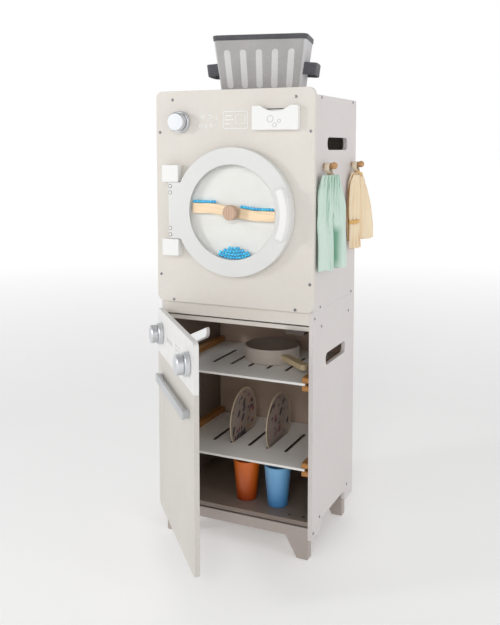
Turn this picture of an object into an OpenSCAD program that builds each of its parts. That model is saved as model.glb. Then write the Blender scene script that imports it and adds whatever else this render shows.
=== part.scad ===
// Toy laundry tower for doll play: a toy washing machine that stands on a toy dishwasher.
// A felt basket stands on top, doll clothes hang from two pegs, toy dishes stand inside.
// Millimetres. +X is right and +Y is back as seen from the front, +Z is up.
// Places are measured from the cabinet's centre line, the front edge of its sides and the floor.

/* [Cabinet] */
// Width over the side boards
cab_w = 363.6; // [340:0.2:440]
// Depth of the side boards
cab_d = 278.5; // [265:0.5:340]
// Thickness of the cabinet boards
board_t = 9.6; // [7:0.1:12]
// Thickness of the back boards
back_t = 6; // [3:0.5:9]
// Height of the lower unit, floor to seam
lower_h = 536.7; // [530:0.1:650]
// Height of the upper unit's front panel
panel_h = 463.3; // [450:0.1:560]
// How far the front panel stands above the top board
panel_rise = 14; // [6:0.5:25]
// How far the front panel overhangs each side board
panel_over = 4; // [0:0.5:8]
// Corner radius of the front panel
panel_r = 15; // [6:0.5:24]

/* [Grip slots] */
// Length of a grip slot in a side board
slot_len = 134; // [100:1:160]
// Height of a grip slot
slot_h = 27; // [20:1:36]
// Corner radius of a grip slot
slot_r = 11; // [5:0.5:13]
// Distance from the front edge to the middle of a grip slot
slot_y = 146; // [120:1:160]
// Height of the upper grip slot's middle above the seam
slot_up = 349.5; // [300:0.5:380]
// Distance of the lower grip slot's middle below the seam
slot_down = 118; // [90:0.5:160]

/* [Feet] */
// Lowest point of a side board
lobe_z = 44; // [30:0.5:55]
// Underside of the side boards between their lobes
arch_z = 70; // [60:0.5:72]
// Depth of a side board's lobe, front or back
lobe_w = 57; // [40:0.5:80]
// Underside of the foot rails between the legs
rail_under = 46.6; // [30:0.1:60]
// Thickness of the foot rails
foot_t = 21; // [12:0.5:30]
// Width of a leg where it meets the floor
leg_w = 24.5; // [16:0.5:40]
// Width of a leg at the rail
leg_top_w = 51; // [30:0.5:70]
// Height of the bottom board's underside
bottom_z = 74; // [73:0.5:90]

/* [Racks] */
// Height of the upper rack's top face
rack_up_z = 384.2; // [360:0.1:400]
// Height of the lower rack's top face
rack_low_z = 199; // [190:0.1:260]
// Thickness of a rack
rack_t = 5; // [3:0.5:8]
// Distance between two rack slots
rack_pitch = 45; // [34:0.5:52]
// Width of a rack slot
rack_slot_w = 8; // [7:0.5:14]
// Length of a rack slot
rack_slot_len = 122; // [80:1:150]
// Front end of a rack slot
rack_slot_y = 74; // [40:1:110]
// Width of a runner strip
runner_w = 15; // [12:0.5:22]
// Height of a runner strip
runner_h = 12; // [6:0.5:18]

/* [Dishwasher door] */
// How far the door stands open at rest, in degrees
dish_open = 48; // [0:1:100]
// Height of the door's lower edge
dish_z = 67; // [60:0.5:80]
// Distance of the door's upper edge below the seam
dish_drop = 16.7; // [10:0.1:24]
// Thickness of the door
dish_t = 10; // [8:0.5:14]
// Corner radius of the door
dish_r = 10; // [3:0.5:16]
// Inset of the door's edges from the cabinet's outer faces
dish_inset = 6.6; // [5:0.2:9]
// Height of the bar handle's middle
bar_z = 374; // [300:1:440]
// Length of the bar handle
bar_len = 272; // [160:1:290]
// Height of the bar handle's face
bar_h = 18; // [12:0.5:26]
// How far the bar handle stands out
bar_out = 15; // [10:0.5:24]
// Height of the two door knobs
knob_z = 470; // [440:1:490]
// Distance of a door knob from the door's edge
knob_in = 44; // [32:0.5:80]

/* [Knobs] */
// Diameter of a control knob's base
knob_d = 47; // [34:0.5:56]
// Diameter of a control knob's cap
knob_cap_d = 40; // [28:0.5:50]
// How far a control knob stands out
knob_out = 26; // [18:0.5:34]
// Diameter of a control knob's spindle
spindle_d = 8; // [5:0.5:12]
// Distance of the dial from the panel's left edge
dial_in = 61.8; // [40:0.5:80]
// Distance of the dial below the panel's top edge
dial_down = 67; // [50:0.5:80]

/* [Soap drawer] */
// Width of the drawer front
drawer_w = 103; // [80:1:120]
// Height of the drawer front
drawer_h = 50; // [40:0.5:60]
// Thickness of the drawer front
drawer_t = 11.8; // [8:0.2:16]
// Distance of the drawer front from the panel's right edge
drawer_in = 31.8; // [20:0.2:60]
// Distance of the drawer's middle below the panel's top edge
drawer_down = 61; // [50:0.5:80]
// Depth of the drawer's tray
tray_len = 88; // [70:1:140]
// Wall of the drawer's tray
tray_wall = 3; // [2:0.5:5]
// How far the drawer pulls out
drawer_pull = 65; // [30:1:80]

/* [Washer door] */
// Outer diameter of the door ring
ring_d = 275; // [240:1:300]
// Inner diameter of the door ring
ring_in_d = 202; // [160:1:220]
// Thickness of the door ring
ring_t = 17.7; // [14:0.1:24]
// Distance of the ring's middle right of the panel's middle
ring_x = 6.4; // [0:0.1:12]
// Height of the ring's middle above the seam
ring_up = 204.6; // [180:0.1:240]
// Half height of the ring's tab at the hinge
tab_half = 61.7; // [40:0.1:80]
// Distance of the hinge axis from the panel's left edge
pivot_in = 44.8; // [36:0.2:50]
// Height of a hinge block
block_h = 36.5; // [24:0.5:50]
// Width of a hinge block
block_w = 40; // [30:0.5:46]
// How far a hinge block stands out
block_out = 21; // [18:0.5:30]
// Diameter of the door's pivot pins
pivot_d = 6; // [4:0.5:8]
// How much smaller the opening in the panel is than the ring's inner diameter
hole_less = 12; // [8:1:40]
// Inner radius of the arc handle
arc_r_in = 117; // [104:0.5:122]
// Width of the arc handle
arc_w = 16; // [10:0.5:18]
// How far the arc handle stands out
arc_out = 19; // [12:0.5:26]
// Half angle of the arc handle
arc_half = 24; // [14:0.5:40]

/* [Window toy] */
// Gap between a paddle arm's end and the ring
arm_gap = 4; // [3:0.5:12]
// Height of a paddle arm
arm_h = 21.5; // [12:0.5:26]
// Thickness of the paddle
arm_t = 4.6; // [3:0.2:6]
// Where an arm's level end starts
arm_bend = 48; // [30:0.5:60]
// Height of the left arm's middle above the hub
arm_lift = 6.5; // [0:0.5:14]
// Diameter of the wooden turning knob
turn_d = 32; // [22:0.5:40]
// Diameter of a bead
bead_d = 6.7; // [4:0.1:7]

/* [Pegs and clothes] */
// Distance of the front peg from the front edge
peg_front_y = 58; // [45:1:80]
// Distance of the rear peg from the front edge
peg_rear_y = 249; // [230:1:252]
// Height of the pegs above the seam
peg_up = 303.3; // [280:0.1:330]
// How far a peg stands out
peg_out = 30; // [24:0.5:40]
// Diameter of a peg's shaft
peg_d = 9; // [6:0.5:11]
// Diameter of a peg's ball end
peg_ball_d = 15; // [12:0.5:18]
// Thickness of a hanging garment
cloth_t = 13; // [6:0.5:16]

/* [Basket] */
// Width of the basket's base
basket_base_w = 172; // [120:1:200]
// Depth of the basket's base
basket_base_d = 92; // [70:1:110]
// Width of the basket's rim
basket_rim_w = 206; // [140:1:230]
// Depth of the basket's rim
basket_rim_d = 120; // [80:1:130]
// Height of the basket
basket_h = 132; // [90:1:160]
// Thickness of the felt
felt_t = 4; // [2:0.5:7]
// How far the basket is turned, in degrees
basket_turn = 13; // [0:1:20]
// Height of the dark rim band
rim_band_h = 11; // [6:0.5:20]

/* [Dishes] */
// Diameter of the pan
pan_d = 128; // [90:1:134]
// Height of the pan
pan_h = 35; // [24:0.5:45]
// Length of the pan's handle
pan_handle_len = 98; // [60:1:104]
// Diameter of a plate
plate_d = 144; // [120:1:148]
// Depth of a plate from its back to its rim
plate_t = 7; // [4:0.5:7]
// Height of a cup
cup_h = 91; // [70:1:95]
// Diameter of a cup's foot
cup_base_d = 45; // [34:0.5:52]
// Diameter of a cup's mouth
cup_top_d = 60; // [48:0.5:66]
// Wall of a cup
cup_wall = 2.2; // [1.5:0.1:4]

/* [Clearances] */
// Gap between two pieces that move past each other
run_gap = 0.6; // [0.4:0.05:1]
// Gap between a piece and what it rests on or hangs from
seat_gap = 0.3; // [0.2:0.05:0.5]
// Radial gap of a pin in its hole
pin_gap = 0.1; // [0.05:0.01:0.2]

/* [Hidden] */
$fn = 64;
eps = 0.01;

// Cabinet
tower_h = lower_h + panel_h;
top_z = tower_h - panel_rise;
half_w = cab_w/2;
in_w = cab_w - 2*board_t;
panel_w = cab_w + 2*panel_over;
panel_t = board_t;
back_y = cab_d - 2 - back_t;
rail_h = 28.5;
rail_z = lower_h - rail_h;
ceil_z = lower_h - 43;
ceil_set = 9;
floor_z = bottom_z + board_t;
rear_foot_y = 240*cab_d/278.5;

// Racks
rack_y = -1 + 2*run_gap;
rack_back_gap = 4;
rack_w = in_w - 18;
runner_end_r = runner_h/3;

// Dishwasher door, drawn shut and turned open about its pin
leaf_t = 1;
knuckle_r = 2;
pin_r = 1.1;
pin_x = -half_w + 3.8;
pin_y = -knuckle_r - 0.2;
dish_back = pin_y - knuckle_r - 0.2;
dish_w = cab_w - 2*dish_inset - 0.4;
dish_x0 = -half_w + dish_inset;
dish_h = lower_h - dish_drop - dish_z;
dish_front = dish_back - dish_t;
leaf_h = 50;
leaf_z = [dish_z + 40, dish_z + dish_h - 40 - leaf_h];
knuckles = 5;
knuckle_h = leaf_h/knuckles;
knuckle_gap = 0.4;
catch_x = half_w - 40;

// Washer door
face_y = -panel_t;
ring_z = lower_h + ring_up;
ring_back = face_y - run_gap;
ring_front = ring_back - ring_t;
pivot_x = -panel_w/2 + pivot_in;
pivot_y = ring_back - ring_t/2;
lip_t = 3;
lip_step = 3;
pane_t = 2;
disc_t = 2;
pane_front = ring_front + lip_t;
chamber_front = pane_front + pane_t;
disc_front = ring_back - disc_t;
pivot_len = 14;
pivot_in_tab = 12;
arm_y = (chamber_front + disc_front)/2;
arm_len = ring_in_d/2 - arm_gap;
hole_d = ring_in_d - hole_less;
cap_rows = [39, 53];

// Controls
dial_x = -panel_w/2 + dial_in;
dial_z = tower_h - dial_down;
drawer_x = panel_w/2 - drawer_in - drawer_w/2;
drawer_z = tower_h - drawer_down;
tray_w = drawer_w - 14;
tray_h = drawer_h - 16;
guide_len = max(tray_len, drawer_pull) + 12;

// Screws
screw_head_r = 3.4;
screw_head_t = 1.2;
screw_r = 1.9;
screw_len = 5;

// Pegs and clothes
peg_z = lower_h + peg_up;
peg_tenon = board_t - 1.5;
loop_r = peg_ball_d/2 + 4.5;
loop_band = 2.4;
loop_w = 7;
loop_x = half_w + 9;
loop_z = peg_z + peg_d/2 + seat_gap - loop_r;
hang_turn = 15;
trouser_front = 57;
trouser_back = 56;
trouser_len = 198;
trouser_x = half_w + seat_gap + trouser_front*sin(hang_turn);
shirt_len = 183;
shirt_front = 50;
shirt_back = 70;
shirt_x = half_w + seat_gap + shirt_front*sin(hang_turn);

// Basket
basket_x = 25;
basket_y = 100;
basket_z = top_z + seat_gap;
strap_h = 26;
strap_t = 3;
strap_out = 27;
strap_half = 42;
strap_z = basket_z + 48;

// Dishes
pan_x = 22;
pan_y = 157;
pan_wall = 3;
pan_turn = -40;
plate_x = [-rack_pitch, rack_pitch];
plate_y = rack_slot_y + rack_slot_len/2;
plate_chord = rack_slot_len/2 - 2;
plate_z = rack_low_z + sqrt(pow(plate_d/2, 2) - pow(plate_chord, 2));
cup_orange_at = [1, 61];
cup_blue_at = [79, 57];

// The origin is on the floor under the middle of the whole object
door_reach = dish_x0 + dish_w - pin_x;
knob_edge = knob_in - knob_cap_d/2 - (pin_x - dish_x0);
low_x = min(-panel_w/2,
    pin_x + knob_edge*cos(dish_open) + (dish_front - knob_out - pin_y)*sin(dish_open));
high_x = shirt_x + shirt_back*sin(hang_turn) + cloth_t*cos(hang_turn);
low_y = pin_y - door_reach*sin(dish_open) + (dish_front - pin_y)*cos(dish_open);
high_y = peg_rear_y + shirt_back*cos(hang_turn);
mid_x = (low_x + high_x)/2;
mid_y = (low_y + high_y)/2;

// Shared shapes

module place() {
    translate([-mid_x, -mid_y, 0]) children();
}

// Turns a piece of the dishwasher door from shut to its rest angle
module on_dish_door() {
    translate([pin_x, pin_y, 0]) rotate([0, 0, -dish_open])
        translate([-pin_x, -pin_y, 0]) children();
}

module round_rect(w, h, r) {
    square([w - 2*r, h], center = true);
    square([w, h - 2*r], center = true);
    for (sx = [-1, 1], sz = [-1, 1]) translate([sx*(w/2 - r), sz*(h/2 - r)]) circle(r);
}

// Extrudes an outline drawn in X and Z towards the back, from y0
module slab_y(y0, t) {
    translate([0, y0 + t, 0]) rotate([90, 0, 0]) linear_extrude(t) children();
}

// Extrudes an outline drawn in Y and Z to the right, from x0
module slab_x(x0, t) {
    translate([x0, 0, 0]) rotate([90, 0, 90]) linear_extrude(t) children();
}

// A round bar along Y, from y0 towards the back
module rod_y(x, y0, z, r, len) {
    translate([x, y0 + len, z]) rotate([90, 0, 0]) cylinder(r = r, h = len);
}

module block(x0, x1, y0, y1, z0, z1) {
    translate([x0, y0, z0]) cube([x1 - x0, y1 - y0, z1 - z0]);
}

// Turns a profile drawn in radius and height so that it stands out of a front face
module turned_y(x, y, z) {
    translate([x, y, z]) rotate([90, 0, 0]) rotate_extrude() children();
}

module grip_cut(z) {
    slab_x(-half_w - 1, cab_w + 2)
        translate([slot_y, z]) round_rect(slot_len, slot_h, min(slot_r, slot_h/2 - eps));
}

// Screw with a low head, its head's seat at the origin and its shank along -Z
module screw(gap = 0) {
    translate([0, 0, -screw_len - gap]) cylinder(r = screw_r + gap, h = screw_len + gap + eps);
    if (gap == 0) rotate_extrude() polygon([[0, 0], [screw_head_r, 0],
        [screw_head_r*0.9, screw_head_t*0.7], [screw_head_r*0.5, screw_head_t], [0, screw_head_t]]);
}

module at_panel_screws() {
    edge_x = panel_w/2 - panel_over - board_t/2;
    board_x = panel_w/2 - 41;
    for (sx = [-1, 1]) {
        for (z = [top_z - board_t/2, lower_h + board_t/2])
            translate([sx*board_x, face_y, z]) rotate([90, 0, 0]) children();
        for (z = [tower_h - 89, lower_h + 60])
            translate([sx*edge_x, face_y, z]) rotate([90, 0, 0]) children();
    }
}

// Side screws of one unit: pairs of [y, z] on both outer faces
module at_side_screws(spots) {
    for (sx = [-1, 1], p = spots)
        translate([sx*half_w, p[0], p[1]]) rotate([0, sx*90, 0]) children();
}

upper_spots = [[41, top_z - board_t/2], [cab_d - 25.5, top_z - board_t/2],
    [41, lower_h + board_t/2], [cab_d - 25.5, lower_h + board_t/2]];
lower_spots = [[50, ceil_z + board_t/2], [cab_d - 44, ceil_z + board_t/2],
    [board_t/2 + 3, rail_z + rail_h/2], [46, bottom_z + board_t/2],
    [cab_d - 44, bottom_z + board_t/2], [foot_t/2 - 3, (rail_under + arch_z)/2]];

module at_dowels() {
    for (sx = [-1, 1], y = [board_t/2, back_y - board_t/2])
        translate([sx*in_w/3, y, lower_h]) children();
}

dowel_r = 3;
dowel_half = 9;

// Lower unit

// Side outline with its two foot lobes and the arch between them
module lower_side_outline() {
    curve = arch_z - lobe_z;
    toe_r = curve*0.3;
    difference() {
        translate([0, lobe_z]) square([cab_d, lower_h - lobe_z]);
        translate([cab_d/2, lobe_z]) round_rect(cab_d - 2*lobe_w, 2*curve, curve - toe_r);
        for (end = [0, 1]) translate([end*cab_d, 0]) mirror([end, 0])
            translate([lobe_w - toe_r, lobe_z]) difference() {
                translate([0, -1]) square(toe_r + 1);
                translate([0, toe_r]) circle(toe_r);
            }
    }
}

module lower_side(x0) {
    difference() {
        slab_x(x0, board_t) lower_side_outline();
        grip_cut(lower_h - slot_down);
        at_side_screws(lower_spots) screw(pin_gap);
    }
}

module lower_side_left() { color([0.83, 0.80, 0.78]) place() lower_side(-half_w); }

module lower_side_right() { color([0.83, 0.80, 0.78]) place() lower_side(half_w - board_t); }

module lower_back() {
    color([0.80, 0.78, 0.75]) place()
        block(-in_w/2, in_w/2, back_y, back_y + back_t, rail_under, lower_h - 1);
}

module lower_top_board() {
    color([0.87, 0.85, 0.82]) place()
        block(-in_w/2, in_w/2, ceil_set, back_y, ceil_z, ceil_z + board_t);
}

module lower_bottom_board() {
    color([0.80, 0.77, 0.73]) place()
        block(-in_w/2, in_w/2, 0, back_y, bottom_z, bottom_z + board_t);
}

module lower_rails() {
    color([0.87, 0.85, 0.82]) place() difference() {
        for (y = [0, back_y - board_t]) block(-in_w/2, in_w/2, y, y + board_t, rail_z, lower_h);
        at_dowels() translate([0, 0, -dowel_half - seat_gap])
            cylinder(r = dowel_r + pin_gap, h = 2*dowel_half);
    }
}

// Foot rail with a tapered leg at each end
module foot_rail(y0) {
    w = in_w/2;
    slab_y(y0, foot_t) polygon([[-w, arch_z], [w, arch_z], [w, 0], [w - leg_w, 0],
        [w - leg_top_w, rail_under], [leg_top_w - w, rail_under], [leg_w - w, 0], [-w, 0]]);
}

module front_foot_rail() { color([0.72, 0.68, 0.66]) place() foot_rail(0); }

module rear_foot_rail() { color([0.72, 0.68, 0.66]) place() foot_rail(rear_foot_y - foot_t/2); }

// Racks

module rack_board(top) {
    difference() {
        block(-rack_w/2, rack_w/2, rack_y, back_y - rack_back_gap, top - rack_t, top);
        for (i = [-2:2]) translate([i*rack_pitch, plate_y, top - rack_t - 1]) linear_extrude(rack_t + 2)
            round_rect(rack_slot_w, rack_slot_len, rack_slot_w/2 - eps);
    }
}

module upper_rack() { color([0.93, 0.93, 0.92]) place() rack_board(rack_up_z); }

module lower_rack() { color([0.93, 0.93, 0.92]) place() rack_board(rack_low_z); }

// Two wooden strips on each wall hold each rack between them
module rack_runners() {
    color([0.69, 0.47, 0.24]) place()
        for (top = [rack_up_z, rack_low_z], sx = [-1, 1],
                z = [top - rack_t - seat_gap - runner_h/2, top + seat_gap + runner_h/2])
            translate([sx*(in_w/2 - runner_w/2), 0, z]) runner();
}

module runner() {
    len = back_y - rack_back_gap - rack_y;
    translate([0, rack_y + runner_end_r, 0]) rotate([-90, 0, 0])
        linear_extrude(len - runner_end_r) square([runner_w, runner_h], center = true);
    translate([0, rack_y + runner_end_r, 0]) rotate([0, 90, 0])
        for (s = [-1, 1]) translate([s*(runner_h/2 - runner_end_r), 0, -runner_w/2])
            cylinder(r = runner_end_r, h = runner_w);
    translate([-runner_w/2, rack_y, -runner_h/2 + runner_end_r])
        cube([runner_w, runner_end_r, runner_h - 2*runner_end_r]);
}

// Dishwasher door and its hinges

// Every second knuckle of a hinge, starting with the first (0) or the second (1)
module knuckle_row(first) {
    for (z = leaf_z, k = [first:2:knuckles - 1])
        translate([pin_x, pin_y, z + k*knuckle_h + knuckle_gap/2]) difference() {
            union() {
                cylinder(r = knuckle_r, h = knuckle_h - knuckle_gap);
                children();
            }
            translate([0, 0, -1]) cylinder(r = pin_r + pin_gap, h = knuckle_h + 2);
        }
}

module dish_hinge_leaves() {
    web = [-pin_y - leaf_t, -pin_y];
    color([0.75, 0.75, 0.76]) place() {
        knuckle_row(0) translate([0, web[0], 0])
            cube([half_w - board_t + pin_x + 2*board_t - 4.4, leaf_t, knuckle_h - knuckle_gap]);
        for (z = leaf_z) block(pin_x + knuckle_r + 0.4, -half_w + board_t, -leaf_t, 0, z, z + leaf_h);
    }
}

module dish_hinge_pins() {
    color([0.6, 0.6, 0.62]) place() for (z = leaf_z)
        translate([pin_x, pin_y, z - 0.6]) {
            cylinder(r = pin_r, h = leaf_h + 1.2);
            for (h = [-0.8, leaf_h + 1.2]) translate([0, 0, h]) cylinder(r = knuckle_r - 0.2, h = 0.8);
        }
}

module dish_door_leaves() {
    reach = 18;
    color([0.75, 0.75, 0.76]) place() on_dish_door() {
        knuckle_row(1) translate([0, dish_back - pin_y, 0])
            cube([knuckle_r + 1, leaf_t, knuckle_h - knuckle_gap]);
        for (z = leaf_z) block(pin_x + knuckle_r + 0.4, pin_x + reach, dish_back,
            dish_back + leaf_t, z, z + leaf_h);
    }
}

module at_dish_knobs() {
    for (x = [dish_x0 + knob_in, dish_x0 + dish_w - knob_in])
        translate([x, dish_front, knob_z]) rotate([90, 0, 0]) children();
}

module dish_door_panel() {
    color([0.85, 0.83, 0.80]) place() on_dish_door() difference() {
        slab_y(dish_front, dish_t) translate([dish_x0 + dish_w/2, dish_z + dish_h/2])
            round_rect(dish_w, dish_h, dish_r);
        at_dish_knobs() translate([0, 0, -dish_t - 1])
            cylinder(d = spindle_d + 2*pin_gap, h = dish_t + 2);
        for (x = bar_feet) rod_y(x, dish_front - 1, bar_z, bar_screw_r + pin_gap, dish_t + 2);
    }
}

bar_screw_r = 2.5;
bar_t = 6;
bar_x = dish_x0 + dish_w/2 + 5;
bar_feet = [bar_x - bar_len/2 + 9, bar_x + bar_len/2 - 9];

// Flat bar on two feet, with its screws through the door
module dish_door_handle() {
    color([0.67, 0.68, 0.69]) place() on_dish_door() {
        slab_y(dish_front - bar_out, bar_t) translate([bar_x, bar_z]) round_rect(bar_len, bar_h, 4);
        for (x = bar_feet) {
            slab_y(dish_front - bar_out + bar_t - eps, bar_out - bar_t + eps)
                translate([x, bar_z]) round_rect(14, bar_h - 3, 3);
            rod_y(x, dish_front - eps, bar_z, bar_screw_r, dish_t + eps);
        }
    }
}

// Control knob seen in section: a wide base, a groove and a cap, bored for its spindle
module knob_body() {
    base_t = knob_out*0.42;
    groove_t = 2.4;
    groove_r = knob_cap_d/2 - 3;
    bore_r = spindle_d/2 + pin_gap;
    bore_end = knob_out - 4;
    base_r = knob_d/2;
    cap_r = knob_cap_d/2;
    rotate_extrude() polygon([[bore_r, seat_gap], [base_r - 1, seat_gap], [base_r, seat_gap + 1],
        [base_r, base_t - 1.5], [base_r - 1.5, base_t], [groove_r, base_t],
        [groove_r, base_t + groove_t], [cap_r, base_t + groove_t], [cap_r, knob_out - 2],
        [cap_r - 2, knob_out], [0, knob_out], [0, bore_end], [bore_r, bore_end]]);
}

// Spindle from behind the board to inside the knob, with a nut behind the board
module knob_spindle(wall) {
    translate([0, 0, -wall]) cylinder(d = spindle_d, h = wall + knob_out - 4 - seat_gap);
    translate([0, 0, -wall - 3]) cylinder(d = spindle_d + 6, h = 3, $fn = 6);
}

module dish_knob_left() {
    color([0.78, 0.79, 0.80]) place() on_dish_door()
        translate([dish_x0 + knob_in, dish_front, knob_z]) rotate([90, 0, 0]) knob_body();
}

module dish_knob_right() {
    color([0.78, 0.79, 0.80]) place() on_dish_door()
        translate([dish_x0 + dish_w - knob_in, dish_front, knob_z]) rotate([90, 0, 0]) knob_body();
}

module dish_knob_spindles() {
    color([0.6, 0.6, 0.62]) place() on_dish_door() at_dish_knobs() knob_spindle(dish_t);
}

module magnet_catch() {
    color([0.93, 0.93, 0.92]) place()
        block(catch_x - 20, catch_x + 20, dish_back + 1.6, 24, ceil_z - 6, ceil_z);
}

module strike_plate() {
    color([0.7, 0.7, 0.72]) place() on_dish_door()
        slab_y(dish_back, 1) translate([catch_x, ceil_z - 5]) round_rect(38, 14, 3);
}

module lower_screws() { color([0.55, 0.53, 0.50]) place() at_side_screws(lower_spots) screw(); }

// Upper unit

module washer_front_panel() {
    color([0.87, 0.85, 0.82]) place() difference() {
        slab_y(face_y, panel_t) difference() {
            translate([0, lower_h + panel_h/2]) round_rect(panel_w, panel_h, panel_r);
            translate([ring_x, ring_z]) circle(d = hole_d);
            translate([drawer_x, drawer_z]) square([tray_w + 4, tray_h + 4], center = true);
            translate([dial_x, dial_z]) circle(d = spindle_d + 2*pin_gap);
        }
        at_panel_screws() screw(pin_gap);
    }
}

module washer_side(x0) {
    difference() {
        slab_x(x0, board_t) translate([0, lower_h]) square([cab_d, top_z - lower_h]);
        grip_cut(lower_h + slot_up);
        at_side_screws(upper_spots) screw(pin_gap);
        if (x0 > 0) at_pegs() translate([0, 0, -peg_tenon])
            cylinder(d = peg_d + 2*pin_gap, h = peg_tenon + 1);
    }
}

module washer_side_left() { color([0.83, 0.80, 0.78]) place() washer_side(-half_w); }

module washer_side_right() { color([0.83, 0.80, 0.78]) place() washer_side(half_w - board_t); }

module washer_back() {
    color([0.80, 0.78, 0.75]) place()
        block(-in_w/2, in_w/2, back_y, back_y + back_t, lower_h + 1, top_z);
}

module washer_top() {
    color([0.87, 0.85, 0.82]) place()
        block(-in_w/2, in_w/2, 0, back_y, top_z - board_t, top_z);
}

module washer_bottom() {
    color([0.87, 0.85, 0.82]) place() difference() {
        block(-in_w/2, in_w/2, 0, back_y, lower_h, lower_h + board_t);
        at_dowels() translate([0, 0, -1]) cylinder(r = dowel_r + pin_gap, h = dowel_half + 1 + seat_gap);
    }
}

module stacking_dowels() {
    color([0.85, 0.72, 0.52]) place() at_dowels()
        translate([0, 0, -dowel_half]) cylinder(r = dowel_r, h = 2*dowel_half);
}

module dial_knob() {
    color([0.85, 0.86, 0.86]) place()
        translate([dial_x, face_y, dial_z]) rotate([90, 0, 0]) knob_body();
}

module dial_spindle() {
    color([0.6, 0.6, 0.62]) place()
        translate([dial_x, face_y, dial_z]) rotate([90, 0, 0]) knob_spindle(panel_t);
}

// Drawer front with a finger dip in its upper edge
module drawer_front() {
    dip_w = 67;
    dip_h = 11.5;
    dip_r = (dip_w*dip_w/4 + dip_h*dip_h)/(2*dip_h);
    back = face_y - seat_gap;
    color([0.94, 0.94, 0.93]) place() slab_y(back - drawer_t, drawer_t) difference() {
        translate([drawer_x, drawer_z]) round_rect(drawer_w, drawer_h, 3);
        translate([drawer_x, drawer_z + drawer_h/2 - dip_h + dip_r]) circle(dip_r, $fn = 128);
    }
}

module drawer_tray() {
    y0 = face_y - seat_gap;
    color([0.90, 0.90, 0.89]) place() translate([drawer_x, 0, drawer_z]) difference() {
        block(-tray_w/2, tray_w/2, y0, y0 + tray_len, -tray_h/2, tray_h/2);
        block(-tray_w/2 + tray_wall, tray_w/2 - tray_wall, y0 + tray_wall,
            y0 + tray_len - tray_wall, -tray_h/2 + tray_wall, tray_h/2 + 1);
    }
}

// Two angle rails behind the panel that carry the tray
module drawer_guides() {
    side = tray_w/2 + run_gap;
    color([0.80, 0.66, 0.46]) place() translate([drawer_x, 0, drawer_z]) for (sx = [-1, 1])
        mirror([sx < 0 ? 1 : 0, 0, 0]) rotate([-90, 0, 0]) linear_extrude(guide_len)
            polygon([[side, -tray_h/2], [side + 6, -tray_h/2], [side + 6, tray_h/2 + 5],
                [side - 7, tray_h/2 + 5], [side - 7, tray_h/2 + seat_gap], [side, tray_h/2 + seat_gap]]);
}

// Hinge blocks above and below the ring's tab, each with a blind hole for its pin
module at_blocks() {
    for (s = [-1, 1]) translate([pivot_x, face_y, ring_z + s*(tab_half + run_gap + block_h/2)])
        children();
}

module door_hinge_blocks() {
    color([0.95, 0.95, 0.94]) place() difference() {
        at_blocks() translate([0, -block_out, 0]) rotate([-90, 0, 0])
            linear_extrude(block_out) round_rect(block_w, block_h, 2);
        translate([pivot_x, pivot_y, ring_z - tab_half - run_gap - pivot_len])
            cylinder(d = pivot_d + 2*pin_gap, h = 2*(tab_half + run_gap + pivot_len));
    }
}

module door_pivot_pins() {
    color([0.72, 0.72, 0.74]) place() for (s = [-1, 1])
        translate([pivot_x, pivot_y, ring_z + s*(tab_half + run_gap)]) mirror([0, 0, s < 0 ? 1 : 0])
            translate([0, 0, -pivot_in_tab - run_gap])
                cylinder(d = pivot_d, h = pivot_in_tab + run_gap + pivot_len - seat_gap);
}

// Round door ring with a tab that ends in a half round on the pivot axis
module washer_door_ring() {
    color([0.91, 0.91, 0.90]) place() difference() {
        union() {
            rod_y(ring_x, ring_front, ring_z, ring_d/2, ring_t, $fn = 128);
            block(pivot_x, ring_x - ring_in_d/2, ring_front, ring_back,
                ring_z - tab_half, ring_z + tab_half);
            translate([pivot_x, pivot_y, ring_z - tab_half]) cylinder(d = ring_t, h = 2*tab_half);
        }
        rod_y(ring_x, ring_front - 1, ring_z, ring_in_d/2, ring_t + 2, $fn = 128);
        rod_y(ring_x, pane_front, ring_z, ring_in_d/2 + lip_step, ring_t, $fn = 128);
        for (s = [-1, 1]) translate([pivot_x, pivot_y, ring_z + s*tab_half])
            translate([0, 0, s > 0 ? -pivot_in_tab - 0.6 : -1])
                cylinder(d = pivot_d + 2*pin_gap, h = pivot_in_tab + 1.6);
        at_cap_screws() screw(pin_gap);
    }
}

seat_r = ring_in_d/2 + lip_step - pin_gap;

module at_cap_screws() {
    for (s = [-1, 1], z = cap_rows)
        translate([pivot_x - 1, ring_front, ring_z + s*z]) rotate([90, 0, 0]) children();
}

module window_pane() {
    color([0.85, 0.92, 0.95, 0.35]) place() difference() {
        rod_y(ring_x, pane_front, ring_z, seat_r, pane_t, $fn = 128);
        rod_y(ring_x, pane_front - 1, ring_z, spindle_d/2 + pin_gap, pane_t + 2);
    }
}

module chamber_ring() {
    color([0.86, 0.87, 0.87]) place() difference() {
        rod_y(ring_x, chamber_front, ring_z, seat_r, disc_front - chamber_front, $fn = 128);
        rod_y(ring_x, chamber_front - 1, ring_z, ring_in_d/2, ring_t, $fn = 128);
    }
}

module door_back_disc() {
    color([0.92, 0.92, 0.91]) place() difference() {
        rod_y(ring_x, disc_front, ring_z, seat_r, disc_t, $fn = 128);
        rod_y(ring_x, disc_front - 1, ring_z, spindle_d/2 + pin_gap, disc_t + 2);
    }
}

// Arc handle glued on the ring, with rounded front edges
module washer_door_handle() {
    edge = 3;
    color([0.96, 0.96, 0.95]) place() translate([ring_x, ring_front, ring_z]) rotate([90, 0, 0])
        rotate([0, 0, -arc_half]) rotate_extrude(angle = 2*arc_half, $fn = 128)
            translate([arc_r_in, 0]) {
                square([arc_w, arc_out - edge]);
                translate([edge, 0]) square([arc_w - 2*edge, arc_out]);
                for (x = [edge, arc_w - edge]) translate([x, arc_out - edge]) circle(edge);
            }
}

module door_cap_screws() { color([0.97, 0.97, 0.96]) place() at_cap_screws() screw(); }

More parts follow.
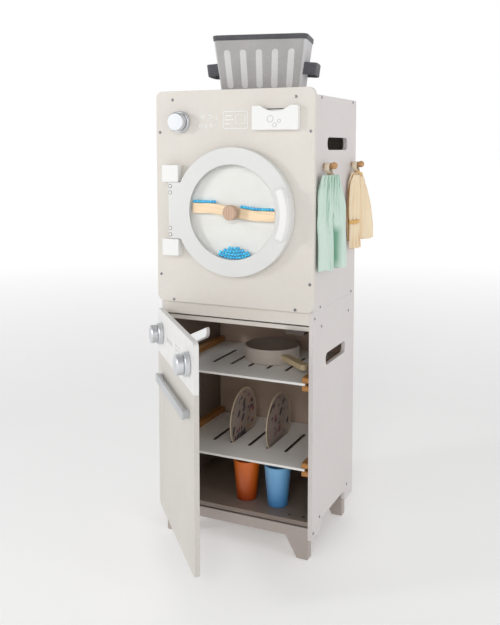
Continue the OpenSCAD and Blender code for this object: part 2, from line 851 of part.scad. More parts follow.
// Paddle with one arm stepped up and one stepped down, and a round hub
module paddle() {
    h = arm_h/2;
    color([0.94, 0.83, 0.69]) place() difference() {
        slab_y(arm_y - arm_t/2, arm_t) translate([ring_x, ring_z]) {
            for (s = [-1, 1]) polygon([[0, h], [s*arm_bend, h - s*arm_lift],
                [s*arm_len, h - s*arm_lift], [s*arm_len, -h - s*arm_lift],
                [s*arm_bend, -h - s*arm_lift], [0, -h]]);
            circle(turn_d/2 - 2);
        }
        rod_y(ring_x, chamber_front, ring_z, spindle_d/2 + pin_gap, ring_t);
    }
}

// Turned wooden knob in front of the pane
module paddle_knob() {
    r = turn_d/2;
    t = 14;
    color([0.75, 0.64, 0.56]) place() difference() {
        turned_y(ring_x, pane_front - seat_gap, ring_z)
            polygon([[0, 0], [r - 1, 0], [r, 1], [r, t - 2], [r - 2, t], [0, t]]);
        rod_y(ring_x, pane_front - t + 4, ring_z, spindle_d/2 + pin_gap, t);
    }
}

module paddle_spindle() {
    front = pane_front - 10 + seat_gap;
    color([0.80, 0.70, 0.55]) place()
        rod_y(ring_x, front, ring_z, spindle_d/2, ring_back - front);
}

// Height of an arm's upper edge over its own end, from the hub outwards
function arm_top(s, u) = arm_h/2 - s*arm_lift*min(1, u/arm_bend);

// Beads that lie along both arms and in a heap at the bottom of the window
module beads() {
    pitch = bead_d + seat_gap;
    rows = [11, 10, 7, 4];
    heap_r = ring_in_d/2 - seat_gap - bead_d/2;
    color([0.12, 0.63, 0.88]) place() translate([ring_x, arm_y, ring_z]) {
        for (u = [arm_len - bead_d/2:-pitch:arm_bend - bead_d])
            translate([-u, 0, arm_top(-1, arm_len) + seat_gap + bead_d/2]) sphere(d = bead_d, $fn = 24);
        for (u = [turn_d/2 + 4:pitch:arm_len - bead_d/2])
            translate([u, 0, arm_top(1, u - bead_d/2) + seat_gap + bead_d/2]) sphere(d = bead_d, $fn = 24);
        for (k = [0:len(rows) - 1], i = [0:rows[k] - 1])
            let(r = heap_r - k*pitch*0.95, a = 270 + (i - (rows[k] - 1)/2)*pitch*1.02/r*180/PI + 1)
                translate([r*cos(a), 0, r*sin(a)]) sphere(d = bead_d, $fn = 24);
    }
}

module washer_screws() {
    color([0.55, 0.53, 0.50]) place() {
        at_panel_screws() screw();
        at_side_screws(upper_spots) screw();
    }
}

// Pegs and clothes

module at_pegs() {
    for (y = [peg_front_y, peg_rear_y])
        translate([half_w, y, peg_z]) rotate([0, 90, 0]) children();
}

// Turned peg with a tenon in the board and a ball end
module pegs() {
    color([0.82, 0.64, 0.42]) place() at_pegs() {
        translate([0, 0, -peg_tenon + seat_gap])
            cylinder(d = peg_d, h = peg_tenon + peg_out - peg_ball_d/2);
        translate([0, 0, peg_out - peg_ball_d/2]) sphere(d = peg_ball_d);
    }
}

// Tape loop over a peg, in the plane of the garment
module tape_loop(y) {
    translate([loop_x, y, loop_z]) rotate([0, 90, 0]) difference() {
        cylinder(r = loop_r + loop_band, h = loop_w);
        translate([0, 0, -1]) cylinder(r = loop_r, h = loop_w + 2);
    }
}

// Slab of cloth that stands out from the wall towards its rear edge
module hanging(x0, y0) {
    translate([x0, y0, 0]) rotate([0, 0, -hang_turn])
        slab_x(0, cloth_t) translate([0, loop_z - loop_r]) children();
}

// Trousers: one flat solid with two legs, hanging from the front peg
module trousers() {
    color([0.78, 0.88, 0.82]) place() {
        tape_loop(peg_front_y);
        hanging(trouser_x, peg_front_y) polygon([[-38, 0], [18, 0], [36, -36], [46, -60],
            [50, -104], [trouser_back, 6 - trouser_len], [22, -trouser_len], [14, -150], [3, -106],
            [-4, -106], [0, -trouser_len], [-trouser_front, -trouser_len], [-trouser_front, -60],
            [-54, -30]]);
    }
}

// Shirt: one flat solid with a hanging sleeve, behind the rear peg
module shirt() {
    color([0.93, 0.85, 0.73]) place() {
        tape_loop(peg_rear_y);
        hanging(shirt_x, peg_rear_y) polygon([[-28, 0], [14, 0], [42, -34], [60, -76],
            [shirt_back, -130], [shirt_back, -166], [4, -163], [2, -shirt_len], [-44, 2 - shirt_len],
            [-shirt_front, -70], [-46, -30]]);
    }
}

// Basket

// Slice of the basket's rounded outline at a height above its base, shrunk by inset
module basket_slice(h, inset, t = 0.02) {
    share = h/basket_h;
    w = basket_base_w + (basket_rim_w - basket_base_w)*share - 2*inset;
    d = basket_base_d + (basket_rim_d - basket_base_d)*share - 2*inset;
    r = 13 + 3*share - inset;
    translate([0, 0, h]) linear_extrude(t) round_rect(w, d, r, $fn = 32);
}

// Tapered block of the basket's outline between two heights
module basket_block(h0, h1, inset) {
    hull() {
        basket_slice(h0, inset);
        basket_slice(h1 - 0.02, inset);
    }
}

module at_basket() {
    translate([basket_x, basket_y, basket_z]) rotate([0, 0, basket_turn]) children();
}

module basket_body() {
    color([0.70, 0.69, 0.68]) place() at_basket() difference() {
        basket_block(0, basket_h - rim_band_h, 0);
        basket_block(felt_t, basket_h + 1, felt_t);
    }
}

module basket_rim() {
    color([0.36, 0.36, 0.38]) place() at_basket() difference() {
        basket_block(basket_h - rim_band_h, basket_h, -1.5);
        basket_block(basket_h - rim_band_h - 1, basket_h + 1, felt_t);
    }
}

// Strap loops on the short sides
module basket_handles() {
    wall = basket_base_w/2 + (basket_rim_w - basket_base_w)/2*48/basket_h;
    color([0.33, 0.33, 0.35]) place() at_basket() difference() {
        for (sx = [-1, 1]) translate([sx*wall, 0, strap_z - basket_z]) linear_extrude(strap_h)
            difference() {
                round_rect(2*strap_out, 2*strap_half, 14, $fn = 32);
                round_rect(2*(strap_out - strap_t), 2*(strap_half - strap_t), 11, $fn = 32);
            }
        basket_block(0, basket_h, -seat_gap);
    }
}

// Dishes

module pan() {
    r = pan_d/2;
    z = rack_up_z + seat_gap;
    bend = 4;
    color([0.65, 0.61, 0.57]) place() translate([pan_x, pan_y, z]) rotate_extrude($fn = 96)
        difference() {
            union() {
                square([r - bend, pan_h]);
                translate([0, bend]) square([r, pan_h - bend]);
                translate([r - bend, bend]) circle(bend);
            }
            translate([-1, pan_wall]) square([r - pan_wall + 1, pan_h]);
        }
}

pan_handle_w = 19;
pan_handle_t = 12;
pan_handle_z = rack_up_z + pan_h - 22;

// Wooden handle that starts 0.3 from the pan's wall
module pan_handle() {
    r = pan_d/2;
    color([0.82, 0.75, 0.60]) place() translate([pan_x, pan_y, pan_handle_z])
        rotate([0, 0, pan_turn]) difference() {
            union() {
                block(0, r + pan_handle_len - pan_handle_w/2, -pan_handle_w/2, pan_handle_w/2,
                    0, pan_handle_t);
                translate([r + pan_handle_len - pan_handle_w/2, 0, 0])
                    cylinder(d = pan_handle_w, h = pan_handle_t);
            }
            translate([0, 0, -1]) cylinder(r = r + seat_gap, h = pan_handle_t + 2, $fn = 96);
        }
}

// Dished plate, its open side towards +X
module plate(x) {
    r = plate_d/2;
    color([0.80, 0.76, 0.70]) place() translate([x - plate_t/2, plate_y, plate_z]) rotate([0, 90, 0])
        rotate_extrude($fn = 96) polygon([[0, 0], [r - 20, 0], [r - 1.5, plate_t - 2.4],
            [r, plate_t - 1.4], [r, plate_t], [r - 2.5, plate_t], [r - 21, 2.8], [0, 2.8]]);
}

module plate_left() { plate(plate_x[0]); }

module plate_right() { plate(plate_x[1]); }

// Tapered cup with an open mouth and a small foot
module cup(at) {
    base = cup_base_d/2;
    top = cup_top_d/2;
    place() translate([at[0], at[1], floor_z + seat_gap]) rotate_extrude($fn = 96)
        polygon([[0, 1], [base - 3, 1], [base - 3, 0], [base - 0.6, 0], [base, 0.8], [top, cup_h],
            [top - cup_wall, cup_h], [base - cup_wall, 3.4], [0, 3.4]]);
}

module cup_orange() { color([0.75, 0.38, 0.14]) cup(cup_orange_at); }

module cup_blue() { color([0.41, 0.61, 0.76]) cup(cup_blue_at); }

lower_side_left();
lower_side_right();
lower_back();
lower_top_board();
lower_bottom_board();
lower_rails();
front_foot_rail();
rear_foot_rail();
rack_runners();
upper_rack();
lower_rack();
dish_hinge_leaves();
dish_hinge_pins();
dish_door_panel();
dish_door_leaves();
dish_door_handle();
dish_knob_left();
dish_knob_right();
dish_knob_spindles();
magnet_catch();
strike_plate();
lower_screws();
washer_front_panel();
washer_side_left();
washer_side_right();
washer_back();
washer_top();
washer_bottom();
dial_knob();
dial_spindle();
drawer_front();
drawer_tray();
drawer_guides();
door_hinge_blocks();
door_pivot_pins();
washer_door_ring();
window_pane();
chamber_ring();
door_back_disc();
washer_door_handle();
door_cap_screws();
paddle();
paddle_knob();
paddle_spindle();
beads();
washer_screws();
stacking_dowels();
pegs();
basket_body();
basket_rim();
basket_handles();
trousers();
shirt();
pan();
pan_handle();
plate_left();
plate_right();
cup_orange();
cup_blue();
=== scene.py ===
from contextlib import contextmanager
from math import cos, exp, hypot, pi, radians, sin

import bpy
from mathutils import Matrix, Vector, noise


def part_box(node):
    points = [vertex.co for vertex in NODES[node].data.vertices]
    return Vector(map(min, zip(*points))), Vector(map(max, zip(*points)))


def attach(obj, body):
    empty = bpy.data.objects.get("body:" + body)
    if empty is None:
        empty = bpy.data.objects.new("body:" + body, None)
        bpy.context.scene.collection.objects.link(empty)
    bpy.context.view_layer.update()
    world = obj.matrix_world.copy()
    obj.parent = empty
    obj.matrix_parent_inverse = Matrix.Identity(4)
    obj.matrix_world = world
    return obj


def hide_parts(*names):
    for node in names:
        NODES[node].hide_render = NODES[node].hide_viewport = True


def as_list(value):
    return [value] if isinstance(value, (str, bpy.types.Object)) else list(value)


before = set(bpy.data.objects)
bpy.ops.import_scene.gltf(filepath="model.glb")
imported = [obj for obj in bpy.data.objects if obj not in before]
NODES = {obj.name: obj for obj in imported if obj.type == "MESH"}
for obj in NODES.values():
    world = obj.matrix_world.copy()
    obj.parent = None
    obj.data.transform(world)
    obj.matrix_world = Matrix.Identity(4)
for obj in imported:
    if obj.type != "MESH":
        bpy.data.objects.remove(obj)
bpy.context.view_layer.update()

MM = 0.001

# The tower's centre line and the front edge of its side boards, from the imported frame.
panel_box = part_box("washer_front_panel")
CENTRE_X = (panel_box[0].x + panel_box[1].x) / 2
PANEL_HALF = (panel_box[1].x - CENTRE_X) / MM
FRONT_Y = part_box("washer_side_left")[0].y
FACE_Y = (panel_box[0].y - FRONT_Y) / MM
HALF_W = (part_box("washer_side_right")[1].x - CENTRE_X) / MM


def at(x, y, z):
    """A place in millimetres from the centre line, the side boards' front edge and the floor."""
    return Vector((CENTRE_X + x * MM, FRONT_Y + y * MM, z * MM))


def box_mm(node):
    """A node's corners in the same millimetres."""
    return [Vector(((p.x - CENTRE_X) / MM, (p.y - FRONT_Y) / MM, p.z / MM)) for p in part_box(node)]


def middle(node):
    """The middle of a node's box, in the frame's metres."""
    lo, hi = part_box(node)
    return (lo + hi) / 2


# The cavity of the lower unit, a hair inside its boards' faces.
BOARD, HAIR = 9.6, 0.3
DEPTH, LOWER_H = 278.5, 536.7
CAVITY_SIDE = HALF_W - BOARD + HAIR
CAVITY = (at(-CAVITY_SIDE, 2 * HAIR, box_mm("lower_bottom_board")[1].z - HAIR),
          at(CAVITY_SIDE, box_mm("lower_back")[0].y + HAIR, box_mm("lower_top_board")[0].z + HAIR))

# The dishwasher door stands open about its hinge; its own places are given with it shut.
DISH_TURN = radians(48)
HINGE = at(-HALF_W + 3.8, -2.2, 0)
DOOR_FRONT = -14.4
DOOR_BAND_Z = 0.421

BASKET_TURN = radians(13)
FELT_ROUGH = 0.95


def placed(name, data):
    """A new object in the scene."""
    obj = bpy.data.objects.new(name, data)
    bpy.context.scene.collection.objects.link(obj)
    return obj


# ---------------------------------------------------------------- camera

def add_camera():
    data = bpy.data.cameras.new("camera")
    camera = placed("camera", data)
    data.lens = 46.121
    data.sensor_width = 36
    data.shift_y = -0.15
    data.clip_start, data.clip_end = 0.05, 50
    turn, tilt = radians(24.831), radians(5.028)
    ahead = Vector((-sin(turn) * cos(tilt), cos(turn) * cos(tilt), -sin(tilt)))
    camera.location = at(749.1, -1538.7, 876.25)
    camera.rotation_mode = "QUATERNION"
    camera.rotation_quaternion = ahead.to_track_quat("-Z", "Y")
    bpy.context.scene.camera = camera


# ---------------------------------------------------------------- shader building

def rgb(r, g, b):
    """A screen colour as the linear one that a socket takes."""
    def linear(v):
        v /= 255
        return v / 12.92 if v <= 0.04045 else ((v + 0.055) / 1.055) ** 2.4
    return (linear(r), linear(g), linear(b), 1)


class Bench:
    """Holds the node tree that is being wired."""
    tree = None


def feed(node, ins):
    """Links or sets a node's sockets, by name or number."""
    for key, value in ins.items():
        if isinstance(value, bpy.types.NodeSocket):
            out(node.inputs[key], value)
        else:
            node.inputs[key].default_value = value
    return node


def add(kind, ins={}, **props):
    """A shader node with its properties and sockets."""
    node = Bench.tree.nodes.new("ShaderNode" + kind)
    for key, value in props.items():
        setattr(node, key, value)
    return feed(node, ins)


def calc(operation, a, b=0.0, clamp=False):
    return add("Math", {0: a, 1: b}, operation=operation, use_clamp=clamp).outputs[0]


def plus(a, b, clamp=False):
    return calc("ADD", a, b, clamp)


def times(a, b):
    return calc("MULTIPLY", a, b)


def vec(operation, a, b=(0, 0, 0)):
    """Vector maths; a length or a dot product comes out as a number."""
    made = add("VectorMath", {0: a, 1: b}, operation=operation).outputs
    return made["Value" if operation in ("LENGTH", "DOT_PRODUCT") else "Vector"]


def split(vector):
    return add("SeparateXYZ", {0: vector}).outputs


def mix(factor, a, b):
    return add("Mix", {0: factor, 6: a, 7: b}, data_type="RGBA").outputs[2]


def span(value, low, high, to_low=0.0, to_high=1.0):
    return add("MapRange", {0: value, 1: low, 2: high, 3: to_low, 4: to_high}).outputs[0]


def cloud(vector, scale, detail=2.0, distortion=0.0):
    return add("TexNoise", {"Vector": vector, "Scale": scale, "Detail": detail,
                                  "Distortion": distortion}).outputs[0]


def group(name, inputs, outputs):
    """A new node group on the bench; its sockets are words that end in c, v or f for their kind."""
    kinds = {"v": "NodeSocketVector", "f": "NodeSocketFloat", "c": "NodeSocketColor"}
    Bench.tree = made = bpy.data.node_groups.new(name, "ShaderNodeTree")
    for words, way in ((inputs, "INPUT"), (outputs, "OUTPUT")):
        for word in words.split():
            label, kind = word.split(":")
            made.interface.new_socket(name=label, in_out=way, socket_type=kinds[kind])
    return made.nodes.new("NodeGroupInput").outputs, made.nodes.new("NodeGroupOutput").inputs


def use(name, **ins):
    """A shared node group, placed in a material with its own values."""
    node = Bench.tree.nodes.new("ShaderNodeGroup")
    node.node_tree = bpy.data.node_groups[name]
    return feed(node, ins).outputs


def out(socket, value):
    Bench.tree.links.new(value, socket)


def build_groups():
    # Rounded edges: a normal that turns over an edge, and a mask along it.
    i, o = group("soft_edge", "Radius:f", "Mask:f Normal:v")
    bevel = add("Bevel", {"Radius": i["Radius"]}, samples=4).outputs[0]
    normal = add("NewGeometry").outputs["Normal"]
    same = vec("DOT_PRODUCT", bevel, normal)
    out(o["Mask"], span(same, 0.98, 0.80))
    out(o["Normal"], bevel)

    # Paint, lacquer and smooth plastic: slow clouds in the colour, a fine skin in the height.
    i, o = group("coating", "Vector:v Colour:c Shade:c Grain:f",
                    "Colour:c Rough:f Height:f")
    slow = cloud(i["Vector"], 9.0, 3.0)
    fine = cloud(i["Vector"], i["Grain"], 3.0)
    speck = cloud(i["Vector"], 140.0, 4.0)
    shade = plus(span(slow, 0.35, 0.7, 0.0, 0.6), span(speck, 0.4, 0.75, 0.0, 0.35), True)
    out(o["Colour"], mix(shade, i["Colour"], i["Shade"]))
    out(o["Rough"], span(fine, 0.3, 0.7, -0.06, 0.06))
    out(o["Height"], fine)

    # Wood with its grain along X of the vector.
    i, o = group("grain", "Vector:v Light:c Dark:c Scale:f",
                    "Colour:c Rough:f Height:f")
    size = add("VectorMath", {0: i["Vector"], "Scale": i["Scale"]}, operation="SCALE").outputs[0]
    drawn = vec("MULTIPLY", size, (0.07, 1.0, 1.0))
    warp = cloud(drawn, 0.6, 2.0)
    bands = add("TexWave", {"Vector": drawn, "Scale": 0.7, "Distortion": 5.0, "Detail": 2.0,
                               "Detail Scale": 0.8}, bands_direction="DIAGONAL").outputs["Fac"]
    pores = cloud(vec("MULTIPLY", drawn, (0.6, 5.0, 5.0)), 1.0, 4.0)
    tone = plus(times(bands, 0.42), times(warp, 0.35))
    tone = plus(tone, span(pores, 0.45, 0.75, 0.0, 0.5), True)
    out(o["Colour"], mix(tone, i["Light"], i["Dark"]))
    out(o["Rough"], span(pores, 0.3, 0.7, -0.08, 0.10))
    out(o["Height"], plus(times(bands, 0.3), pores))

    # Plain weave on a map in metres.
    i, o = group("weave", "Vector:v Threads:f", "Height:f Mask:f")
    cut = split(i["Vector"])
    per = times(i["Threads"], pi)
    warp = calc("SINE", times(cut[0], per))
    weft = calc("SINE", times(cut[1], per))
    over = times(warp, weft)
    slub = cloud(vec("MULTIPLY", i["Vector"], (1.0, 0.12, 1.0)),
                 900.0, 2.0)
    out(o["Height"], plus(times(over, 0.5), times(slub, 0.6)))
    out(o["Mask"], plus(span(over, -1.0, 1.0, 0.0, 0.5), span(slub, 0.35, 0.7, 0.0, 0.5), True))

    # Pressed felt: matted fibres that lie every way.
    i, o = group("felt", "Vector:v", "Height:f Mask:f")
    matted = cloud(i["Vector"], 260.0, 4.0, 1.6)
    hair = cloud(vec("MULTIPLY", i["Vector"], (1.0, 0.25, 0.6)),
                 1500.0, 3.0, 2.5)
    out(o["Height"], plus(times(matted, 0.6), times(hair, 0.4)))
    out(o["Mask"], plus(span(matted, 0.3, 0.7, 0.0, 0.6), span(hair, 0.35, 0.7, 0.0, 0.4), True))

    # Fine rings left by turning, round the Y axis of the vector.
    i, o = group("turned", "Vector:v", "Height:f Mask:f")
    cut = split(i["Vector"])
    flat = add("CombineXYZ", {0: cut[0], 1: 0.0, 2: cut[2]}).outputs[0]
    far = vec("LENGTH", flat)
    rings = cloud(add("CombineXYZ", {0: far, 1: 0.0, 2: 0.0}).outputs[0], 1800.0, 3.0)
    out(o["Height"], rings)
    out(o["Mask"], span(rings, 0.35, 0.65))


MADE = {}


def material(name, **sockets):
    """A new material on the bench with its shader's constants set, as (shader, object coordinates)."""
    MADE[name] = made = bpy.data.materials.new(name)
    made.use_nodes = True
    Bench.tree = made.node_tree
    shader = made.node_tree.nodes["Principled BSDF"]
    for key, value in sockets.items():
        shader.inputs[key.replace("_", " ")].default_value = value
    return shader, add("TexCoord").outputs["Object"]


def surface(shader, colour, rough, vary, height, distance, normal=None, strength=0.5):
    """Links a colour, a varied roughness and a bump to the shader."""
    out(shader.inputs["Base Color"], colour)
    out(shader.inputs["Roughness"], plus(vary, rough, True))
    ins = {"Strength": strength, "Distance": distance, "Height": height}
    if normal is not None:
        ins["Normal"] = normal
    out(shader.inputs["Normal"], add("Bump", ins).outputs[0])


def edged(shader, tint, rough, vary, height, distance, radius, edge=None, share=1.0):
    """Rounds the edges, lightens them if a tint is given for that, and finishes the surface."""
    soft = use("soft_edge", Radius=radius)
    if edge:
        tint = mix(times(soft["Mask"], share), tint, edge)
    surface(shader, tint, rough, vary, height, distance, soft["Normal"])
    return tint


def coated(name, tones, rough=0.45, grain=900.0, bump=0.00004, radius=0.0012, **sockets):
    """Painted board, lacquer or moulded plastic; tones are its colour, its shade and its edges' colour."""
    shader, place = material(name, **sockets)
    colour, shade, edge = (rgb(*tone) for tone in tones)
    skin = use("coating", Vector=place, Colour=colour, Shade=shade, Grain=grain)
    tint = edged(shader, skin["Colour"], rough, skin["Rough"], skin["Height"], bump, radius, edge, 0.55)
    return shader, place, tint


def shaded_inside(name, tones, dark, **more):
    """Paint whose faces inside the lower unit's cavity are darkened and browned, a painted shade for the cavity; dark
    is that shade's colour.
    """
    shader, place, tint = coated(name, tones, **more)
    low, high = CAVITY
    least = split(vec("MINIMUM", vec("SUBTRACT", place, low), vec("SUBTRACT", high, place)))
    inside = calc("MINIMUM", calc("MINIMUM", least[0], least[1]), least[2])
    dark = rgb(*dark)
    # Painted shade: the cavity's faces take a darker, browner colour that stands in for the shade inside it.
    painted_shade = mix(cloud(place, 7.0, 2.0), dark, [0.72 * v for v in dark[:3]] + [1])
    out(shader.inputs["Base Color"], mix(span(inside, -0.0001, 0.0001), tint, painted_shade))


def wooden(name, light, dark, turn, scale):
    """Oiled wood; turn brings its grain along the piece."""
    shader, place = material(name)
    light = rgb(*light)
    place = add("Mapping", {"Vector": place, "Rotation": turn}).outputs[0]
    wood = use("grain", Vector=place, Light=light, Dark=rgb(*dark), Scale=scale)
    edged(shader, wood["Colour"], 0.5, wood["Rough"], wood["Height"], 0.00012, 0.001, light, 0.35)


def metal(name, colour, shade, rough=0.32, metallic=0.9, radius=0.0006):
    shader, place = material(name, Metallic=metallic)
    skin = use("coating", Vector=place, Colour=rgb(*colour), Shade=rgb(*shade), Grain=1600.0)
    edged(shader, skin["Colour"], rough, skin["Rough"], skin["Height"], 0.00003, radius,
          rgb(235, 236, 238), 0.4)


def knob_finish(node, turn):
    """Satin silver with turning rings about the knob's own axis."""
    shader, place = material(node + "_silver", Metallic=0.85)
    own = vec("SUBTRACT", place, middle(node))
    own = add("Mapping", {"Vector": own, "Rotation": (0, 0, turn)}).outputs[0]
    rings = use("turned", Vector=own)
    tint = mix(rings["Mask"], rgb(224, 226, 229), rgb(204, 207, 211))
    vary = span(rings["Mask"], 0.0, 1.0, -0.05, 0.05)
    edged(shader, tint, 0.36, vary, rings["Height"], 0.00005, 0.001, rgb(246, 247, 248))
    wear(node + "_silver", node)


def felted(name, light, dark, ends=None):
    """Felt; with ends given, the walls that face along the basket are of that paler felt."""
    shader, place = material(name, Roughness=FELT_ROUGH, Sheen_Weight=0.25, Sheen_Roughness=0.5)
    light, dark = rgb(*light), rgb(*dark)
    felt = use("felt", Vector=place)
    slow = cloud(place, 22.0, 3.0)
    mask = plus(times(felt["Mask"], 0.75), span(slow, 0.35, 0.7, 0.0, 0.3), True)
    tint = mix(mask, light, dark)
    if ends:
        along = (cos(BASKET_TURN), sin(BASKET_TURN), 0)
        facing = vec("DOT_PRODUCT", add("NewGeometry").outputs["Normal"], along)
        facing = span(calc("ABSOLUTE", facing), 0.62, 0.80)
        tint = mix(facing, tint, mix(mask, rgb(*ends), light))
    surface(shader, tint, FELT_ROUGH, span(slow, 0.0, 1.0, -0.03, 0.03), felt["Height"], 0.0007,
            strength=0.7)


def woven(name, light, dark, fold_shade, threads=900.0, legs=False):
    """Cotton; its third colour is painted shade that darkens its folds and creases, and legs paints shade on the
    inner side of a rear leg.
    """
    shader, _ = material(name, Sheen_Weight=0.3, Sheen_Roughness=0.45)
    light, dark, fold_shade = rgb(*light), rgb(*dark), rgb(*fold_shade)
    own = add("UVMap", uv_map="cloth").outputs[0]
    cloth = use("weave", Vector=own, Threads=threads)
    slow = cloud(own, 16.0, 3.0)
    mask = plus(times(cloth["Mask"], 0.4), span(slow, 0.35, 0.7, 0.0, 0.45), True)
    # Painted shade: where ambient occlusion finds a fold or crease, the colour moves towards the shade colour.
    open_sky = add("AmbientOcclusion", {"Distance": 0.016}, samples=8).outputs["AO"]
    fold = mix(span(open_sky, 0.42, 1.0), fold_shade, mix(mask, light, dark))
    if legs:
        # Painted shade on the inner side of the rear leg, below the crotch.
        across, down = split(own)[:2]
        turned_in = times(span(across, 0.001, 0.003), span(across, 0.034, 0.016))
        below = times(span(down, -0.104, -0.122), span(down, -0.200, -0.178, 0.35, 1.0))
        fold = mix(times(times(turned_in, below), 0.9), fold, fold_shade)
    surface(shader, fold, 0.9, span(slow, 0.0, 1.0, -0.04, 0.04), cloth["Height"], 0.00025,
            strength=0.6)


def radius_from(place, centre, axes):
    """Distance from an axis through centre, in metres."""
    own = vec("SUBTRACT", place, centre)
    own = vec("MULTIPLY", own, axes)
    return vec("LENGTH", own)


def door_paint():
    """The dishwasher door: greige paint with a whiter control band across its top."""
    shader, place, tint = coated("door_paint", ((213, 208, 201), (205, 200, 193), (236, 232, 226)))
    height = split(place)[2]
    ahead = (-sin(DISH_TURN), -cos(DISH_TURN), 0)
    facing = vec("DOT_PRODUCT", add("TexCoord").outputs["Normal"], ahead)
    band = times(span(height, DOOR_BAND_Z, DOOR_BAND_Z + 0.0008),
                span(facing, -0.3, -0.1))
    fine = cloud(place, 60.0, 2.0)
    white = mix(span(fine, 0.3, 0.7), rgb(236, 235, 233), rgb(229, 228, 226))
    out(shader.inputs["Base Color"], mix(band, tint, white))
    wear("door_paint", "dish_door_panel")


def rack_finish():
    """White racks; the walls of their slots are painted dark, a painted shade for the deep slots."""
    shader, place, tint = coated(
        "rack_lacquer", ((250, 249, 246), (245, 244, 241), (254, 254, 252)), rough=0.38)
    upright = split(add("TexCoord").outputs["Normal"])[2]
    wall = span(calc("ABSOLUTE", upright), 0.5, 0.4)
    own = split(vec("SUBTRACT", place, at(0, 135, 0)))
    inside = times(span(calc("ABSOLUTE", own[0]), 0.150, 0.149),
                  span(calc("ABSOLUTE", own[1]), 0.075, 0.074))
    # Painted shade: the slot walls take a dark brown where the slots would be in shade.
    out(shader.inputs["Base Color"], mix(times(wall, inside), tint, rgb(84, 72, 64)))
    wear("rack_lacquer", "upper_rack lower_rack")


def plate_finish(node):
    """Pressed fibre plate with a scattered leaf print on its dished face and a bare pale rim."""
    lo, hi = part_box(node)
    reach = (hi.z - lo.z) / 2
    shader, place = material(node + "_print")
    skin = use("coating", Vector=place, Colour=rgb(190, 174, 164), Shade=rgb(172, 156, 147), Grain=700.0)
    far = radius_from(place, middle(node), (0, 1, 1))
    field = span(far, reach - 0.009, reach - 0.011)
    tint = skin["Colour"]
    for turn, scale, low, high, squeeze, colour in (
            (0.7, 52.0, 0.36, 0.30, (1, 1, 0.5), rgb(44, 40, 62)),
            (2.0, 58.0, 0.30, 0.25, (1, 0.5, 1), rgb(150, 52, 66)),
            (1.2, 66.0, 0.28, 0.23, (1, 1, 0.6), rgb(104, 76, 92)),
            (0.2, 88.0, 0.30, 0.24, (1, 0.7, 1), rgb(206, 146, 74)),
            (2.6, 120.0, 0.26, 0.20, (1, 1, 1), rgb(92, 78, 84))):
        slant = add("Mapping", {"Vector": place, "Rotation": (turn, 0.0, 0.0)}).outputs[0]
        drawn = vec("MULTIPLY", slant, squeeze)
        spots = add("TexVoronoi", {"Vector": drawn, "Scale": scale, "Randomness": 1.0})
        some = span(add("SeparateColor", {0: spots.outputs["Color"]}).outputs[0], 0.40, 0.45)
        mask = times(span(spots.outputs["Distance"], low, high), some)
        tint = mix(times(times(mask, field), 0.85), tint, colour)
    tint = mix(span(far, reach - 0.004, reach - 0.003), tint, rgb(224, 208, 178))
    edged(shader, tint, 0.5, skin["Rough"], skin["Height"], 0.00005, 0.0008)
    wear(node + "_print", node)


def cup_finish(node, top, bottom):
    """Tinted plastic that deepens towards the foot."""
    lo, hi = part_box(node)
    shader, place = material(node + "_tint", Coat_Weight=0.25, Coat_Roughness=0.2,
                                         Subsurface_Weight=0.05, Subsurface_Radius=(0.004, 0.004, 0.004))
    height = span(split(place)[2], lo.z, hi.z)
    slow = cloud(place, 40.0, 2.0)
    tint = mix(plus(height, span(slow, 0.0, 1.0, -0.08, 0.08), True), bottom, top)
    fine = cloud(place, 1200.0, 2.0)
    edged(shader, tint, 0.36, span(fine, 0.0, 1.0, -0.05, 0.05), fine, 0.00003, 0.0009)
    wear(node + "_tint", node)


def pan_finish():
    """Matt coating, taupe outside and a darker brown inside."""
    lo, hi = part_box("pan")
    wall = (hi.x - lo.x) / 2
    shader, place = material("pan_coating")
    skin = use("coating", Vector=place, Colour=rgb(204, 194, 184), Shade=rgb(193, 183, 173), Grain=1100.0)
    far = radius_from(place, middle("pan"), (1, 1, 0))
    inner = times(span(far, wall - 0.0026, wall - 0.0030),
                 span(split(place)[2], lo.z + 0.0015, lo.z + 0.0025))
    tint = mix(inner, skin["Colour"], rgb(172, 157, 143))
    edged(shader, tint, 0.55, skin["Rough"], skin["Height"], 0.00005, 0.0009, rgb(222, 213, 204), 0.5)
    wear("pan_coating", "pan")


def pane_finish():
    """Clear pane. Shadow rays pass, so the chamber behind it stays bright."""
    shader, place = material("clear_pane", Transmission_Weight=1.0, IOR=1.2)
    fine = cloud(place, 30.0, 2.0)
    out(shader.inputs["Base Color"], mix(fine, rgb(253, 253, 252), rgb(250, 250, 248)))
    out(shader.inputs["Roughness"], span(fine, 0.3, 0.7, 0.01, 0.03))
    clear = add("BsdfTransparent").outputs[0]
    shadow = add("LightPath").outputs["Is Shadow Ray"]
    both = add("MixShader", {0: shadow, 1: shader.outputs[0], 2: clear}).outputs[0]
    out(Bench.tree.nodes["Material Output"].inputs["Surface"], both)
    wear("clear_pane", "window_pane")


def bead_finish():
    shader, place = material("bead_gloss", Coat_Weight=0.4, Coat_Roughness=0.1)
    slow = cloud(place, 110.0, 1.0)
    tint = mix(span(slow, 0.35, 0.65), rgb(72, 214, 252), rgb(24, 176, 236))
    fine = cloud(place, 900.0, 2.0)
    surface(shader, tint, 0.28, span(fine, 0.0, 1.0, -0.05, 0.05), fine, 0.00002)
    wear("bead_gloss", "beads")


def wear(finish, nodes):
    """Gives a finish to CAD nodes."""
    for name in nodes.split():
        data = NODES[name].data
        data.materials.clear()
        data.materials.append(MADE[finish])


# Colour, shade and edge colour of the paints that more than one board has.
BODY = (224, 219, 211), (218, 212, 204), (238, 234, 228)
